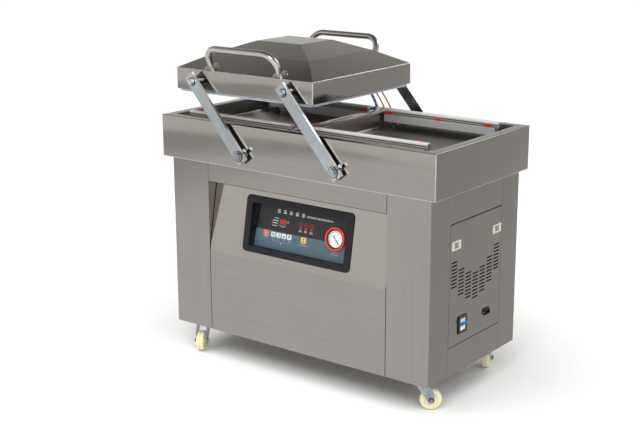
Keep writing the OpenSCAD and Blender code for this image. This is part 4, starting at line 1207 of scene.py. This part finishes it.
def make_wheels():
    wheel_nylon = nylon("wheel_nylon", (0.84, 0.78, 0.5))
    for tag in ("fl", "fr", "bl", "br"):
        name = "caster_wheel_" + tag
        low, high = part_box(name)
        centre, r = (low + high) / 2, (high.z - low.z) / 2 / MM
        axis = Vector(next(j for j in frame["joints"] if j["name"] == "wheel_spin_" + tag)["axis"])
        half = [(5.2, 14.8), (11.5, 14.8), (12.2, 14.1), (13, 12.4), (24, 12.4), (25.2, 14.1), (25.8, 14.8),
                (r - 5.6, 14.8), (r - 3, 13.5), (r - 1, 10.5), (r - 0.2, 6), (r, 1.2), (r, 0)]
        profile = half + [(radius, -along) for radius, along in reversed(half[:-1])]
        piece(name + "_tyre", lathe(profile, centre, axis, 64, wrap=True), wheel_nylon,
              "wheel_" + tag, (name,))
        seam = [(r + 0.02, -0.5), (r + 0.02, 0.5), (r - 0.6, 0.7), (r - 0.6, -0.7)]
        piece(name + "_mould_line", lathe(seam, centre, axis, 64, wrap=True),
              plastic("mould_line_" + tag, (0.33, 0.22, 0.08), 0.5), "wheel_" + tag)
        nuts, washers = [], []
        for out in (-axis.normalized(), axis.normalized()):
            washers.append(lathe([(5.2, 0), (10.5, 0), (10.8, 0.4), (10.5, 1.6), (5.2, 1.7)],
                                 centre + out * 0.0226, out, 40, wrap=True))
            nuts.append(hex_nut(centre + out * 0.024, out, 15.6, 5))
            nuts.append(lathe([(3.6, 0), (4, 0.2), (4, 1.2), (3.4, 1.8), (0.2, 1.8)],
                              centre + out * 0.0284, out, 24))
        piece(name + "_axle_washers", washers, black_oxide, "fork_" + tag)
        piece(name + "_axle_nuts", nuts, screw_zinc, "fork_" + tag, bevel=0.0003)


make_wheels()


# ---------------- floor, cards and end

def level(x0, x1, y0, y1, z):
    """The corners of a level rectangle."""
    return [(x0, y0, z), (x1, y0, z), (x1, y1, z), (x0, y1, z)]


def flat_sheet(name, corners, material):
    data = bpy.data.meshes.new(name)
    data.from_pydata(corners, [], [(0, 1, 2, 3)])
    data.materials.append(material)
    return placed(name, data)


def make_floor():
    p = Paint("floor_paper", specular_ior_level=0.1)
    fibre = p.noise(60, 3)
    shade = p.colours(fibre, (0.3, (0.84, 0.84, 0.835)), (0.7, (0.86, 0.86, 0.855)))
    floor = flat_sheet("floor", level(-40, 40, -40, 40, 0), p.ends(shade, p.spread(fibre, 0.8, 0.9)))


def make_card(name, corners, near, far, axis, start, end):
    """A grey studio card. Only reflections show it; it shades from near to far along one axis."""
    p = Paint(name + "_paper", specular_ior_level=0.0, emission_strength=1.0)
    along = p.math("ADD", p.spread(p.part(p.place, axis), 0, 1, start, end), p.math("MULTIPLY", p.noise(2, 1), 0.06))
    p.feed(p.shader.inputs["Emission Color"], p.colours(along, (0.0, (near,) * 3), (1.0, (far,) * 3)))
    card = flat_sheet(name, corners, p.ends(p.colours(along, (0.0, (0, 0, 0)), (1.0, (0.01, 0.01, 0.01)))))
    card.visible_camera = card.visible_diffuse = card.visible_shadow = card.visible_transmission = False


SIDE_CARD_X, CARD_LIFT = 0.93, 0.004
make_floor()
make_card("side_card", [(SIDE_CARD_X, y, z) for y, z in ((-0.9, 0), (2.6, 0), (2.6, 1.06), (-0.9, 1.06))],
          0.575, 0.52, "Z", 0.3, 0.72)
make_card("side_floor_card", level(0.604, SIDE_CARD_X, -0.9, 2.6, CARD_LIFT), 0.575, 0.575, "X", 0.6, 0.9)
make_card("floor_card", [(x, y, CARD_LIFT) for x, y in ((0.58, -7), (0.58, -0.36), (-5.2, -0.36), (-5.2, -7))],
          0.97, 0.58, "X", -2.1, -3.1)
